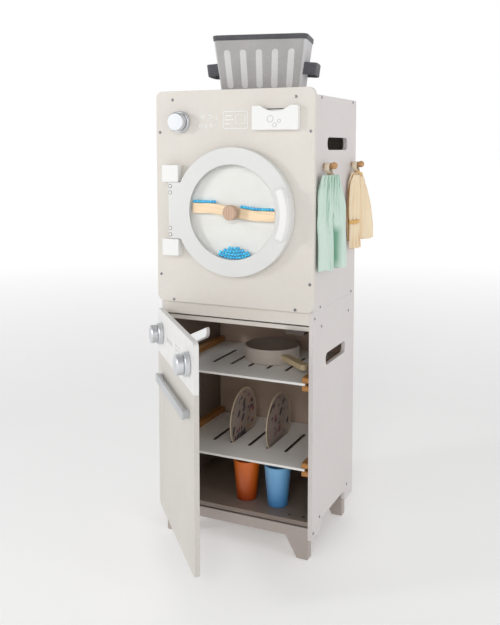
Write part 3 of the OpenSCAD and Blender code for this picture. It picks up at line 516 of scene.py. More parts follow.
# The side boards' tones are a little darker than BODY's, a painted shade for the sides, which face away from the key
# light.
SHADED_SIDE = (220, 214, 212), (213, 207, 205), (234, 229, 226)
BACK = (198, 189, 179), (186, 176, 165), (210, 202, 192)
BARE_BACK = {"rough": 0.7, "grain": 420.0, "bump": 0.00012}
# Colour of the painted shade inside the lower unit's cavity.
CAVITY_SHADE = (132, 116, 104)
FLAT, ALONG_Y = (0, 0, 0), (0, 0, pi / 2)


def finish_nodes():
    for name, tones, nodes, look in (
            ("body_paint", BODY, "washer_front_panel lower_rails washer_top washer_bottom", {}),
            ("side_paint", SHADED_SIDE, "washer_side_left washer_side_right", {}),
            # The foot rails' paint is a darker greige, painted shade for rails low under the cabinet.
            ("shaded_foot_paint", ((180, 169, 163), (170, 159, 153), (200, 191, 185)), "front_foot_rail rear_foot_rail", {}),
            ("upper_back_paint", BACK, "washer_back", BARE_BACK),
            ("catch_plastic", ((74, 63, 56), (64, 54, 47), (90, 78, 70)), "magnet_catch", {"rough": 0.5}),
            ("white_lacquer", ((243, 243, 241), (238, 238, 236), (252, 252, 251)),
             "drawer_front drawer_tray door_hinge_blocks washer_door_handle door_cap_screws",
             {"rough": 0.32, "bump": 0.00002, "Coat_Weight": 0.2, "Coat_Roughness": 0.15}),
            ("ring_lacquer", ((227, 227, 225), (222, 222, 220), (243, 243, 241)),
             "washer_door_ring chamber_ring door_back_disc",
             {"rough": 0.34, "bump": 0.00002, "radius": 0.0022, "Coat_Weight": 0.2, "Coat_Roughness": 0.18}),
            ("white_print", ((246, 245, 242), (242, 241, 237), (251, 250, 248)), "", {"rough": 0.5}),
            ("grey_print", ((196, 196, 194), (184, 184, 182), (200, 200, 198)), "", {"rough": 0.5}),
            # Dark finish for painted shade in screw recesses, round the cap screws and on the deck screws.
            ("painted_recess_shade", ((70, 68, 68), (50, 48, 48), (90, 88, 88)), "", {"rough": 0.6})):
        coated(name, tones, **look)
        wear(name, nodes)
    # Boards whose faces inside the cavity take its painted shade; dark is the shade's colour.
    for name, tones, dark, nodes, look in (
            ("ceiling_paint", BODY, CAVITY_SHADE, "lower_top_board", {}),
            ("lower_side_paint", SHADED_SIDE, CAVITY_SHADE, "lower_side_left lower_side_right", {}),
            # The bottom board is a dark brown greige all over, painted shade for the shaded floor of the cavity and
            # its front edge.
            ("shaded_floor_paint", ((136, 122, 113), (126, 112, 103), (148, 134, 124)), (146, 131, 120),
             "lower_bottom_board", {}),
            ("back_paint", BACK, (212, 188, 170), "lower_back", BARE_BACK)):
        shaded_inside(name, tones, dark, **look)
        wear(name, nodes)
    for name, light, dark, turn, scale, nodes in (
            ("runner_wood", (206, 150, 84), (150, 92, 40), ALONG_Y, 140.0, "rack_runners"),
            ("paddle_wood", (250, 226, 194), (236, 206, 168), FLAT, 110.0, "paddle"),
            ("turned_wood", (214, 184, 160), (180, 148, 124), (0, pi / 2, 0), 150.0, "paddle_knob"),
            ("pin_wood", (222, 196, 156), (196, 164, 120), ALONG_Y, 140.0,
             "paddle_spindle stacking_dowels drawer_guides"),
            ("peg_wood", (216, 172, 124), (176, 126, 80), FLAT, 190.0, "pegs"),
            ("handle_wood", (226, 208, 172), (198, 176, 136), (0, 0, radians(40)), 140.0, "pan_handle")):
        wooden(name, light, dark, turn, scale)
        wear(name, nodes)
    for name, colour, shade, nodes, look in (
            ("screw_steel", (176, 176, 178), (120, 120, 124),
             "lower_screws washer_screws dish_hinge_pins door_pivot_pins strike_plate", {}),
            ("hinge_steel", (200, 200, 202), (168, 168, 172),
             "dish_hinge_leaves dish_door_leaves dish_knob_spindles dial_spindle", {}),
            ("bar_silver", (204, 206, 208), (186, 188, 192), "dish_door_handle",
             {"rough": 0.36, "metallic": 0.55, "radius": 0.0014})):
        metal(name, colour, shade, **look)
        wear(name, nodes)
    for node, turn in (("dial_knob", 0), ("dish_knob_left", DISH_TURN), ("dish_knob_right", DISH_TURN)):
        knob_finish(node, turn)
    door_paint()
    rack_finish()
    pane_finish()
    bead_finish()
    pan_finish()
    plate_finish("plate_left")
    plate_finish("plate_right")
    cup_finish("cup_orange", rgb(226, 110, 18), rgb(156, 56, 6))
    cup_finish("cup_blue", rgb(124, 184, 228), rgb(70, 136, 196))
    felted("grey_felt", (184, 182, 181), (158, 156, 155), (222, 220, 224))
    felted("pale_felt", (220, 219, 218), (204, 203, 202))
    felted("dark_felt", (98, 98, 103), (66, 66, 71))
    # The third colour of each cotton is its painted fold shade.
    woven("mint_cotton", (214, 232, 221), (198, 222, 208), (104, 158, 130), legs=True)
    woven("peach_cotton", (248, 230, 200), (238, 214, 176), (202, 156, 98))
    woven("ochre_trim", (236, 190, 112), (212, 158, 74), (176, 122, 50), 700.0)
    woven("cream_tape", (250, 240, 220), (236, 222, 196), (184, 160, 122), 700.0)


# ---------------------------------------------------------------- modelling by hand

def deselect():
    if bpy.context.mode != "OBJECT":
        bpy.ops.object.mode_set(mode="OBJECT")
    bpy.ops.object.select_all(action="DESELECT")


def only(obj):
    deselect()
    obj.select_set(True)
    bpy.context.view_layer.objects.active = obj


@contextmanager
def shaping(obj):
    """Edit mode with the whole mesh selected, and back."""
    only(obj)
    bpy.ops.object.mode_set(mode="EDIT")
    bpy.ops.mesh.select_all(action="SELECT")
    yield
    bpy.ops.object.mode_set(mode="OBJECT")


def settle(obj):
    """Puts the object's place into its mesh, so that it sits at the origin."""
    only(obj)
    bpy.ops.object.transform_apply(location=True, rotation=True, scale=True)
    return obj


def join(name, parts):
    deselect()
    for part in parts:
        part.select_set(True)
    bpy.context.view_layer.objects.active = parts[0]
    if len(parts) > 1:
        bpy.ops.object.join()
    parts[0].name = parts[0].data.name = name
    return parts[0]


def dress(obj, finish, body, slot, smooth=True):
    obj.data.materials.clear()
    obj.data.materials.append(MADE[finish])
    if smooth:
        only(obj)
        bpy.ops.object.shade_smooth_by_angle(angle=radians(35))
    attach(obj, body)
    return obj


def raise_print(obj, line, lift=0.15):
    """Hollows a flat face to a line, if one is given, and lifts it off the board."""
    with shaping(obj):
        if line:
            bpy.ops.mesh.inset(thickness=line * MM, depth=0)
            bpy.ops.mesh.delete(type="FACE")
            bpy.ops.mesh.select_all(action="SELECT")
        bpy.ops.mesh.extrude_region_move(TRANSFORM_OT_translate={"value": (0, -lift * MM, 0)})
        bpy.ops.mesh.select_all(action="SELECT")
        bpy.ops.mesh.normals_make_consistent(inside=False)
    return obj


def bar_print(x, z, w, h, r, y, line=0.0, lift=0.15):
    """Rounded bar or frame on a face that looks to the front."""
    deselect()
    bpy.ops.mesh.primitive_plane_add(size=1, location=at(x, y, z), rotation=(pi / 2, 0, 0))
    obj = bpy.context.object
    obj.scale = (w * MM, h * MM, 1)
    with shaping(settle(obj)):
        bpy.ops.mesh.bevel(offset=r * MM, segments=5, affect="VERTICES")
    return raise_print(obj, line, lift)


def ring_print(x, z, r, y, line=0.0):
    """Round spot or ring on a face that looks to the front."""
    deselect()
    bpy.ops.mesh.primitive_circle_add(vertices=32, radius=r * MM, fill_type="NGON", location=at(x, y, z),
                                      rotation=(pi / 2, 0, 0))
    return raise_print(settle(bpy.context.object), line)


def turned_about(obj, centre, axis, angle):
    """Turns a settled object about a point and keeps its place in its mesh."""
    turn = Matrix.Translation(centre) @ Matrix.Rotation(angle, 4, axis) @ Matrix.Translation(-centre)
    obj.matrix_world = turn @ obj.matrix_world
    return settle(obj)


def control_icons(x, z, step, y, line):
    """Generic wash symbols in outline: a tub, a drop, a sun and a star."""
    parts = [bar_print(x, z, 10, 8, 2, y, line), bar_print(x, z + 0.6, 6, line, 0.35, y)]
    parts += [ring_print(x + step, z - 1, 3.8, y, line), bar_print(x + step, z + 3.9, line, 3.2, 0.5, y - 0.05)]
    parts.append(ring_print(x + 2 * step, z, 2.8, y, line))
    for k in range(8):
        a = k * pi / 4
        ray = bar_print(x + 2 * step, z + 4.9, line * 0.8, 2.0, 0.3, y)
        parts.append(turned_about(ray, at(x + 2 * step, y, z), "Y", a))
    for k in range(3):
        arm = bar_print(x + 3 * step, z, line * 0.8, 10, 0.4, y - 0.05 * k)
        parts.append(turned_about(arm, at(x + 3 * step, y, z), "Y", k * pi / 3))
    return parts


def panel_prints():
    y = FACE_Y
    parts = control_icons(-76, 925, 13.5, y, 1.9)
    # upper row: a spin ring, a hanger and two bars
    parts += [ring_print(-70, 944, 5.2, y, 1.9), ring_print(-70, 944, 1.9, y),
              bar_print(-52, 943, 12, 7, 1.4, y, 1.9), bar_print(-52, 949, 2.0, 5, 0.6, y - 0.05),
              bar_print(-36, 944, 7, 2.2, 1, y), bar_print(-36, 939, 7, 2.2, 1, y)]
    # display: a frame, a window and three lines
    parts += [bar_print(7.5, 936, 59, 38, 4, y, 2.2), bar_print(19, 937, 24, 20, 2.5, y, 1.8)]
    for k, w in enumerate((16, 20, 12)):
        parts.append(bar_print(-17 + w / 2, 945 - 8.5 * k, w, 3.0, 1.2, y))
    dress(join("panel_prints", parts), "white_print", "cabinet", "white_lacquer", False)


def door_prints():
    y = DOOR_FRONT
    parts = control_icons(-70, 470, 15, y, 1.0)
    parts += [bar_print(34, 470, 46, 20, 3, y, 1.0), bar_print(26, 470, 16, 1.8, 0.8, y),
              ring_print(46, 470, 4, y, 0.8), bar_print(70, 470, 1.4, 18, 0.6, y)]
    prints = turned_about(join("door_prints", parts), HINGE, "Z", -DISH_TURN)
    dress(prints, "grey_print", "dish_door", "white_lacquer", False)


def drawer_bubbles():
    face = box_mm("drawer_front")[0].y
    parts = [ring_print(92.5, 936.5, 7.2, face, 1.1), ring_print(112.5, 932, 3.8, face, 0.9),
             ring_print(102.5, 924, 4.7, face, 1.0)]
    dress(join("drawer_bubbles", parts), "grey_print", "drawer", "white_lacquer", False)


def screw_recesses():
    """Cross recess in each screw head as a thin dark cross raised on it, painted shade for the recess; modelled once
    and copied.
    """
    first = join("recess", [bar_print(0, 0, 3.6, 0.9, 0.2, 0, 0, 0.12), bar_print(0, 0, 0.9, 3.6, 0.2, 0, 0, 0.12)])
    head = 1.2
    board_x, edge_x = PANEL_HALF - 41, PANEL_HALF - 4 - BOARD / 2
    top, seam = box_mm("washer_top")[1].z - BOARD / 2, LOWER_H + BOARD / 2
    fronts = [(s * board_x, z) for s in (-1, 1) for z in (top, seam)]
    fronts += [(s * edge_x, z) for s in (-1, 1) for z in (911, 596.7)]
    places = [(at(x, FACE_Y - head, z), 0) for x, z in fronts]
    sides = [(41, top), (DEPTH - 25.5, top), (41, seam), (DEPTH - 25.5, seam), (50, 498.5), (DEPTH - 44, 498.5),
             (7.8, 522.4), (46, 78.8), (DEPTH - 44, 78.8), (7.5, 58.3)]
    for s in (-1, 1):
        places += [(at(s * (HALF_W + head), y, z), s * pi / 2) for y, z in sides]
    copies = []
    for k, (place, turn) in enumerate(places):
        copy = placed("recess", first.data.copy())
        spin = Matrix.Rotation(0.4 + k * 1.7, 4, "Y")
        copy.matrix_world = Matrix.Translation(place) @ Matrix.Rotation(turn, 4, "Z") @ spin \
            @ Matrix.Translation(-at(0, 0, 0))
        copies.append(settle(copy))
    bpy.data.objects.remove(first)
    dress(join("screw_recesses", copies), "painted_recess_shade", "cabinet", "screw_steel", False)


def deck_screws():
    """Two countersunk screws in the deck of the dishwasher, near its open corner, as thin dark discs in the recesses'
    painted shade.
    """
    spots = []
    deck = box_mm("lower_bottom_board")[1].z
    for x, y in ((123, 18.5), (154, 20)):
        deselect()
        bpy.ops.mesh.primitive_cylinder_add(vertices=32, radius=3.4 * MM, depth=0.5 * MM,
                                            location=at(x, y, deck + 0.2))
        spots.append(settle(bpy.context.object))
        with shaping(spots[-1]):
            bpy.ops.mesh.bevel(offset=0.15 * MM, segments=2)
    dress(join("deck_screws", spots), "painted_recess_shade", "cabinet", "screw_steel")


def cap_screw_collars():
    """Dark rings round each white cap screw of the door's tab, a painted shadow of the gap round each head."""
    shadow_rings = []
    lo, hi = box_mm("door_cap_screws")
    x, face = (lo.x + hi.x) / 2, FACE_Y - 18.3
    for z in (688.3, 702.3, 780.3, 794.3):
        deselect()
        bpy.ops.mesh.primitive_torus_add(major_radius=(hi.x - x + 0.25) * MM, minor_radius=0.55 * MM,
                                         major_segments=40, minor_segments=8, location=at(x, face, z),
                                         rotation=(pi / 2, 0, 0))
        shadow_rings.append(settle(bpy.context.object))
        with shaping(shadow_rings[-1]):
            bpy.ops.transform.resize(value=(1, 0.5, 1), center_override=at(x, face, z))
    dress(join("cap_screw_collars", shadow_rings), "painted_recess_shade", "washer_door", "screw_steel")


# ---------------------------------------------------------------- felt basket

BASKET_AT = (25, 100)
BASE = (172, 92)
RIM = (206, 120)
BASKET_H = 132
BASKET_Z = box_mm("basket_body")[0].z
CORNER_STEPS = 7


def basket_point(u, v, z):
    """A place on the basket, u along its long side and v along its short side."""
    c, s = cos(BASKET_TURN), sin(BASKET_TURN)
    return at(BASKET_AT[0] + u * c - v * s, BASKET_AT[1] + u * s + v * c, BASKET_Z + z)


def half_size(k, share):
    """Half the basket's length (k 0) or width (k 1), at a share of its height."""
    return (BASE[k] + (RIM[k] - BASE[k]) * share) / 2


def basket_outline(z, inset=0.0):
    """Rounded rectangle at a height, with walls that belly out a little, as (u, v) points."""
    share = z / BASKET_H
    r = 13 + 3 * share - inset
    belly = 1.6 * sin(pi * min(1, max(0, share)))
    hw, hd = half_size(0, share) - inset, half_size(1, share) - inset
    points = []
    for quarter in range(4):
        a0 = (quarter - 1) * pi / 2
        off, half, steps = (hw, hd - r, 12) if quarter % 2 else (hd, hw - r, 22)
        along = (cos(a0 + pi / 2), sin(a0 + pi / 2))
        outw = (cos(a0), sin(a0))
        for k in range(steps):
            t = -half + 2 * half * k / steps
            reach = off + belly * (1 - (t / half) ** 2)
            points.append((outw[0] * reach + along[0] * t, outw[1] * reach + along[1] * t))
        cx = outw[0] * (off - r) + along[0] * half
        cy = outw[1] * (off - r) + along[1] * half
        for k in range(CORNER_STEPS):
            a = a0 + pi / 2 * k / CORNER_STEPS
            points.append((cx + r * cos(a), cy + r * sin(a)))
    return points


def mesh_object(name, points, faces):
    data = bpy.data.meshes.new(name)
    data.from_pydata([tuple(p) for p in points], [], faces)
    data.validate()
    return placed(name, data)


def loft(name, rings, capped=False):
    """Skin over rings of points, each ring with as many."""
    n = len(rings[0])
    points = [p for ring in rings for p in ring]
    faces = []
    for j in range(len(rings) - 1):
        for k in range(n):
            a, b = j * n + k, j * n + (k + 1) % n
            faces.append((a, b, b + n, a + n))
    if capped:
        faces += [tuple(reversed(range(n))), tuple(range((len(rings) - 1) * n, len(rings) * n))]
    return mesh_object(name, points, faces)


def outwards(obj):
    """Closes the seams and turns the faces out."""
    with shaping(obj):
        bpy.ops.mesh.remove_doubles(threshold=0.00002)
        bpy.ops.mesh.normals_make_consistent(inside=False)
    return obj


def felt_point(u, v, z):
    """A place on the basket's wall, moved out or in by the slow unevenness of the felt."""
    wave = 0.7 * noise.noise(Vector((u * 0.021, v * 0.03, z * 0.024 + 3.1))) / hypot(u, v)
    return basket_point(u + u * wave, v + v * wave, z)


def basket_piece(name, z0, z1, outer, thick, steps, floor=False):
    """A band of the basket's wall from one height to another: outside, over the top and down inside."""
    edge = 0.8

    def ring(z, inset):
        return [felt_point(u, v, z) for u, v in basket_outline(z, inset)]

    def hub(z, inset):
        return [basket_point(u * 0.02, v * 0.02, z) for u, v in basket_outline(z, inset)]
    rings = [hub(z0, outer + 2), ring(z0, outer + 2.5)] if floor else [ring(z0, outer + edge)]
    rings.append(ring(z0 + edge, outer))
    rings += [ring(z0 + (z1 - z0) * k / steps, outer) for k in range(1, steps)]
    rings += [ring(z1 - edge, outer), ring(z1, outer + edge), ring(z1, outer + thick - edge),
              ring(z1 - edge, outer + thick)]
    bottom = z0 + thick if floor else z0 + edge
    rings += [ring(bottom + (z1 - bottom) * (1 - k / steps), outer + thick) for k in range(1, steps + 1)]
    rings += [hub(bottom, outer + thick)] if floor else [ring(z0, outer + thick - edge), rings[0]]
    return outwards(loft(name, rings, floor))


def basket_body():
    for name, node, finish, z0, z1, outer, thick, steps, floor in (
            ("felt_basket", "basket_body", "grey_felt", 0, BASKET_H - 10, 0, 4, 12, True),
            ("felt_rim_band", "basket_rim", "dark_felt", BASKET_H - 11, BASKET_H, -1.5, 5.2, 3, False)):
        piece = basket_piece(name, z0, z1, outer, thick, steps, floor)
        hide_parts(node)
        dress(piece, finish, "basket", finish)


def basket_windows():
    """Five pale felt strips with round ends, sewn on the front and on the back wall."""
    strips = []
    low, high, half = 26, 94, 7.0
    loop = [(half * cos(a), z + half * sin(a)) for z, start in ((high, 0), (low, pi))
            for a in [start + pi * k / 12 for k in range(13)]]
    for side in (-1, 1):
        for column in range(-2, 3):
            rings = []
            for lift, grow in ((-0.6, 0.0), (0.5, 0.0), (0.9, -0.5), (0.9, -3.5), (0.9, -7.3)):
                ring = []
                for dx, z in loop:
                    zc = min(max(z, low), high)
                    reach = hypot(dx, z - zc)
                    scale = (reach + grow) / reach
                    x, zz = dx * scale, zc + (z - zc) * scale
                    share = zz / BASKET_H
                    u = column * (31 + 5.5 * share) + x
                    wall = half_size(0, share) - 13 - 3 * share
                    belly = 1.6 * sin(pi * share) * (1 - (u / wall) ** 2)
                    ring.append(felt_point(u, side * (half_size(1, share) + belly + lift), zz))
                rings.append(ring)
            strips.append(outwards(loft("strip", rings, True)))
    dress(join("basket_window_strips", strips), "pale_felt", "basket", "grey_felt")


def basket_straps():
    """Folded strap loops on the short sides, with their ends sewn to the wall."""
    loops = []
    z_mid = 61
    wall = half_size(0, z_mid / BASKET_H)
    half, reach, corner, tall, thick = 40.0, 25.5, 12.0, 26.0, 2.6
    bend = [pi / 2 * k / 6 for k in range(7)]
    path = [(-1.0, -half), (reach - corner, -half)]
    path += [(reach - corner + corner * sin(a), -half + corner - corner * cos(a)) for a in bend[1:]]
    path += [(reach + 0.8, y) for y in (-12, 0, 12)]
    path += [(reach - corner + corner * cos(a), half - corner + corner * sin(a)) for a in bend[:-1]]
    path += [(reach - corner, half), (-1.0, half)]
    section = [(-1, z) for z in (-1, -0.9, 0, 0.9, 1)] + [(1, z) for z in (1, 0.9, 0, -0.9, -1)]
    for side in (-1, 1):
        rings = []
        for k, (out_by, v) in enumerate(path):
            before, after = path[max(0, k - 1)], path[min(len(path) - 1, k + 1)]
            along = Vector((after[0] - before[0], after[1] - before[1])).normalized()
            ring = []
            for t, z in section:
                slope = z * tall / 2 * 0.129
                droop = -1.6 * sin(pi * max(0, out_by) / (2 * reach))
                wide = t * (thick / 2 if abs(z) < 1 else thick / 2 - 0.6)
                u = side * (wall + slope + out_by + along.y * wide)
                ring.append(basket_point(u, v - along.x * wide, z_mid + z * tall / 2 + droop))
            rings.append(ring)
        loops.append(outwards(loft("strap", rings, True)))
    straps = join("basket_straps", loops)
    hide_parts("basket_handles")
    dress(straps, "dark_felt", "basket", "dark_felt")


def basket_stitches():
    """Machine stitches under the rim band, as short thin tubes."""
    stitches = []
    z = BASKET_H - 8.5
    outline = basket_outline(z, -1.7)
    for p, q in zip(outline[::2], outline[1::2]):
        path = [basket_point(*p, z), basket_point(*[(a + b) / 2 for a, b in zip(p, q)], z), basket_point(*q, z)]
        rings = []
        for k, point in enumerate(path):
            along = (path[min(2, k + 1)] - path[max(0, k - 1)]).normalized()
            side = along.cross(Vector((0, 0, 1))).normalized()
            up = side.cross(along)
            thin = 0.35 * MM * (1 if k == 1 else 0.55)
            rings.append([point + (side * cos(a) + up * sin(a)) * thin for a in around(6)])
        stitches.append(loft("thread", rings, True))
    dress(outwards(join("basket_stitches", stitches)), "dark_felt", "basket", "dark_felt")


# ---------------------------------------------------------------- doll clothes

PEG_Z = 840.0
LOOP_R = 12.0
LOOP_Z = PEG_Z + 4.5 + 0.3 - LOOP_R
TROUSER_PEG_Y, SHIRT_PEG_Y = 58.0, 249.0
SETTLE = 2.5 * MM  # the farthest that cloth may move from its modelled folds


def lay_map(obj, maps):
    """Gives a piece of cloth its own flat map, in metres."""
    layer = obj.data.uv_layers.new(name="cloth")
    for loop in obj.data.loops:
        layer.data[loop.index].uv = maps[loop.vertex_index]
    return obj


def between(table, z):
    """Straight lines through (z, value, ...) rows that go down in z, softened at the bends."""
    for a, b in zip(table, table[1:]):
        if z >= b[0]:
            t = min(1, max(0, (a[0] - z) / (a[0] - b[0])))
            return [p + (q - p) * t for p, q in zip(a[1:], b[1:])]
    return list(table[-1][1:])


def soft_between(table, z):
    values = [between(table, z + d) for d in (-10, -5, 0, 5, 10)]
    return [sum(v) / len(v) for v in zip(*values)]


def garment(name, place, edges, depth, folds, length, rows, columns, crotch=None, hem_wave=0.0):
    """A flat tube of cloth in two layers, sewn along its sides, with a crotch if one is given.
    place turns (across, out, down) in millimetres into the model; depth(z) is half its thickness."""
    points, faces, maps, index = [], [], [], {}
    middle = columns // 2
    split_row = None if crotch is None else round(-crotch / length * rows)

    def corner(layer, i, j, side):
        """The vertex of a layer at a column and a row, shared at the side seams and inseams."""
        legs = split_row is not None and j >= split_row
        if i in (0, columns) or (legs and i == middle):
            layer = 0
        key = (layer, i, j, side if legs and i == middle else 0)
        if key not in index:
            z = -length * j / rows
            left, right, mid_left, mid_right = soft_between(edges, z)
            pinch = 0.0
            if split_row is not None:
                pinch = max(0.0, min(1.0, (j - split_row + 12) / 12))
                pinch = pinch * pinch * (3 - 2 * pinch)
            share = i / columns
            if split_row is None:
                s, leg_u = left + (right - left) * share, 0.0
            elif i < middle or (i == middle and side < 0):
                s = left + (mid_left - left) * share * 2
                leg_u = share * 4 - 1
            else:
                s = mid_right + (right - mid_right) * (share - 0.5) * 2
                leg_u = (share - 0.5) * 4 - 1
            whole = max(0.0, 1 - (2 * share - 1) ** 2) ** 0.35
            leg = max(0.0, 1 - leg_u ** 2) ** 0.4
            bulge = depth(z) * (whole * (1 - pinch) + leg * pinch)
            fold, flute = folds(s, z, share)
            sign = 1 - 2 * layer
            x = sign * bulge * (1 + 0.3 * flute * sign) + fold
            drop = hem_wave * (j / rows) ** 3 * sin(s * 0.11 + layer * 1.3)
            index[key] = len(points)
            points.append(place(s, x, z + drop))
            maps.append(((s + layer * 300) * MM, z * MM))
        return index[key]

    for layer in (0, 1):
        for j in range(rows):
            for i in range(columns):
                side = -1 if i < middle else 1
                quad = [corner(layer, i, j, side), corner(layer, i + 1, j, side),
                        corner(layer, i + 1, j + 1, side), corner(layer, i, j + 1, side)]
                faces.append(quad[::-1] if layer else quad)
    if split_row is not None:
        faces.append((corner(0, middle, split_row - 1, -1), corner(0, middle, split_row, 1),
                      corner(1, middle, split_row - 1, -1), corner(0, middle, split_row, -1)))
    return lay_map(mesh_object(name, points, faces), maps)


def hang(obj, frames, depth):
    """Lets the cloth settle under gravity; its top, down to a depth under the loop, stays pinned."""
    only(obj)
    pins = obj.vertex_groups.new(name="pinned")
    rest = [v.co.copy() for v in obj.data.vertices]
    for v in obj.data.vertices:
        pins.add([v.index], 1.0 if v.co.z > (LOOP_Z - LOOP_R - depth) * MM else 0.0, "REPLACE")
    cloth = obj.modifiers.new("hang", "CLOTH")
    settings = cloth.settings
    settings.quality = 6
    settings.mass = 0.12
    settings.tension_stiffness = settings.compression_stiffness = 12
    settings.shear_stiffness = 5
    settings.bending_stiffness = 0.06
    settings.vertex_group_mass = "pinned"
    settings.pin_stiffness = 1
    cloth.collision_settings.use_collision = False
    cloth.point_cache.frame_start, cloth.point_cache.frame_end = 1, frames
    scene = bpy.context.scene
    for step in range(1, frames + 1):
        scene.frame_set(step)
    only(obj)
    bpy.ops.object.modifier_apply(modifier=cloth.name)
    scene.frame_set(1)
    for v, before in zip(obj.data.vertices, rest):
        moved = v.co - before
        if moved.length > SETTLE:
            v.co = before + moved.normalized() * SETTLE
    obj.vertex_groups.clear()


def keep_inside(obj, flat):
    """Holds the cloth between the wall's side of its own plane and the plane's outer face."""
    inner, outer = flat(0, 1.2, 0), flat(0, 13.0, 0)
    way = (outer - inner).normalized()
    room = (outer - inner).length
    for v in obj.data.vertices:
        off = (v.co - inner).dot(way)
        v.co += way * (min(max(off, 0.0), room) - off)
        v.co.x = max(v.co.x, at(HALF_W + 1.0, 0, 0).x)


def cloth_finish(obj):
    only(obj)
    solid = obj.modifiers.new("cloth_thickness", "SOLIDIFY")
    solid.thickness = 0.8 * MM
    solid.offset = -1
    solid.use_rim = True
    bpy.ops.object.modifier_apply(modifier=solid.name)


def smooth_noise(x, y, seed):
    return noise.noise(Vector((x, y, seed)))


HANG_TURN = radians(15)


def hang_place(peg_y, front):
    """Across, out and down in the plane of a garment that stands out from the wall behind its peg."""
    c, s = cos(HANG_TURN), sin(HANG_TURN)
    x0 = HALF_W + 0.3 + front * s

    def place(across, out_by, z):
        return at(x0 + out_by * c + across * s, peg_y - out_by * s + across * c, LOOP_Z - LOOP_R + z)
    return place


def trousers():
    edges = [(0, -38, 18, -8, -8), (-12, -45, 26, -8, -8), (-30, -54, 34, -7, -7), (-60, -58, 46, -6, -6),
             (-106, -59, 51, -5, -4), (-125, -58, 53, -4, 2), (-160, -58, 55, -2, 5), (-198, -58, 57, 1, 6)]
    flat = hang_place(TROUSER_PEG_Y, 57.0)

    def place(s, x, z):
        return flat(s, 6.8 + x, z)

    def depth(z):
        return 3.0 + 1.6 * min(1, -z / 40)

    def folds(s, z, share):
        down = -z
        gather = exp(-down / 40)
        flute = sin(share * pi * 2 * 6.5 + 0.9 * sin(down * 0.05)) * (2.6 * gather + 0.15)
        fan = (share - 0.5) * 2
        run = smooth_noise(fan * 3.6 + 2.0, down * 0.011, 1.7) * 3.4 * min(1, down / 25)
        drag = sin(s * 0.12 - down * 0.06) * exp(-((down - 88) / 36) ** 2) * 1.5
        inseam = max(0, min(1, (down - 96) / 26))
        front_leg = 2.2 * inseam if share < 0.5 else 0
        rear_leg = -10.5 * inseam * max(0, 1 - (share - 0.5) / 0.36) if share >= 0.5 else 0
        return 0.8 * run + drag + front_leg + rear_leg, flute

    obj = garment("mint_trousers", place, edges, depth, folds, 198.0, 90, 64, crotch=-106, hem_wave=1.6)
    hang(obj, 12, 12)
    keep_inside(obj, flat)
    cloth_finish(obj)
    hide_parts("trousers")
    return dress(obj, "mint_cotton", "trousers", "mint_cotton")


def shirt():
    flat = hang_place(SHIRT_PEG_Y, 50.0)
    body_edges = [(0, -26, 13, 0, 0), (-14, -37, 26, 0, 0), (-34, -44, 41, 0, 0), (-76, -47, 59, 0, 0),
                  (-122, -47, 69, 0, 0), (-156, -44, 70, 0, 0)]

    def body_folds(s, z, share):
        down = -z
        fan = (share - 0.5) * 2
        flute = sin(share * pi * 2 * 4.5 + 1.0) * (0.9 * exp(-down / 40) + 0.2)
        run = smooth_noise(fan * 2.6 + 5.0, down * 0.008, 4.3) * 3.6 * min(1, down / 30)
        tuck = -1.8 * exp(-((share - 0.47) / 0.06) ** 2) * min(1, down / 40)
        return run + tuck - 0.6, flute

    body = garment("peach_shirt", lambda s, x, z: flat(s, 4.2 + x, z), body_edges,
                   lambda z: 2.2 + 1.0 * min(1, -z / 60), body_folds, 156.0, 70, 60, hem_wave=1.4)
    sleeve_edges = [(0, -26, -6, 0, 0), (-12, -37, -3, 0, 0), (-30, -45, -2, 0, 0), (-60, -48, -3, 0, 0),
                    (-94, -48, -5, 0, 0), (-104, -44, -8, 0, 0), (-112, -44, -7, 0, 0), (-168, -47, 3, 0, 0)]

    def sleeve_folds(s, z, share):
        down = -z
        cuff = exp(-((down - 107) / 10) ** 2)
        flute = sin(share * pi * 2 * 5.5) * (1.3 * cuff + 0.25)
        ruffle = sin(share * pi * 2 * 3.0 + 0.7) * 2.2 * max(0, min(1, (down - 110) / 45))
        pleat = sin(share * pi * 2 * 2.5 + 0.4) * 1.5 * exp(-((down - 66) / 48) ** 2)
        return ruffle + pleat - 1.6 * exp(-((down - 14) / 14) ** 2), flute

    sleeve = garment("peach_sleeve", lambda s, x, z: flat(s, 9.4 + x, z - 5), sleeve_edges, lambda z: 1.7,
                     sleeve_folds, 168.0, 78, 34, hem_wave=1.6)
    hang(body, 12, 20)
    hang(sleeve, 8, 120)
    for obj in (body, sleeve):
        keep_inside(obj, flat)
        cloth_finish(obj)
        dress(obj, "peach_cotton", "shirt", "peach_cotton")
    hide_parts("shirt")
    return body, sleeve


def around(count):
    """Even angles of a full turn."""
    return [2 * pi * k / count for k in range(count)]


def ribbon(name, path, way, wide, thick, finish, body, slot):
    """A closed band of flat tape along a path of points; way is how its width lies."""
    rings, maps, run = [], [], 0.0
    wide, thick = wide * MM / 2, thick * MM / 2
    for k, point in enumerate(path):
        after = path[(k + 1) % len(path)]
        face = (after - path[k - 1]).normalized().cross(way).normalized()
        ring = []
        for a, b in ((-1, -1), (0, -1), (1, -1), (1.04, 0), (1, 1), (0, 1), (-1, 1), (-1.04, 0)):
            ring.append(point + way * a * wide + face * b * thick)
            maps.append((a * wide, run))
        rings.append(ring)
        run += (after - point).length
    obj = lay_map(loft(name, rings + rings[:1]), maps + maps[:8])
    return dress(outwards(obj), finish, body, slot)


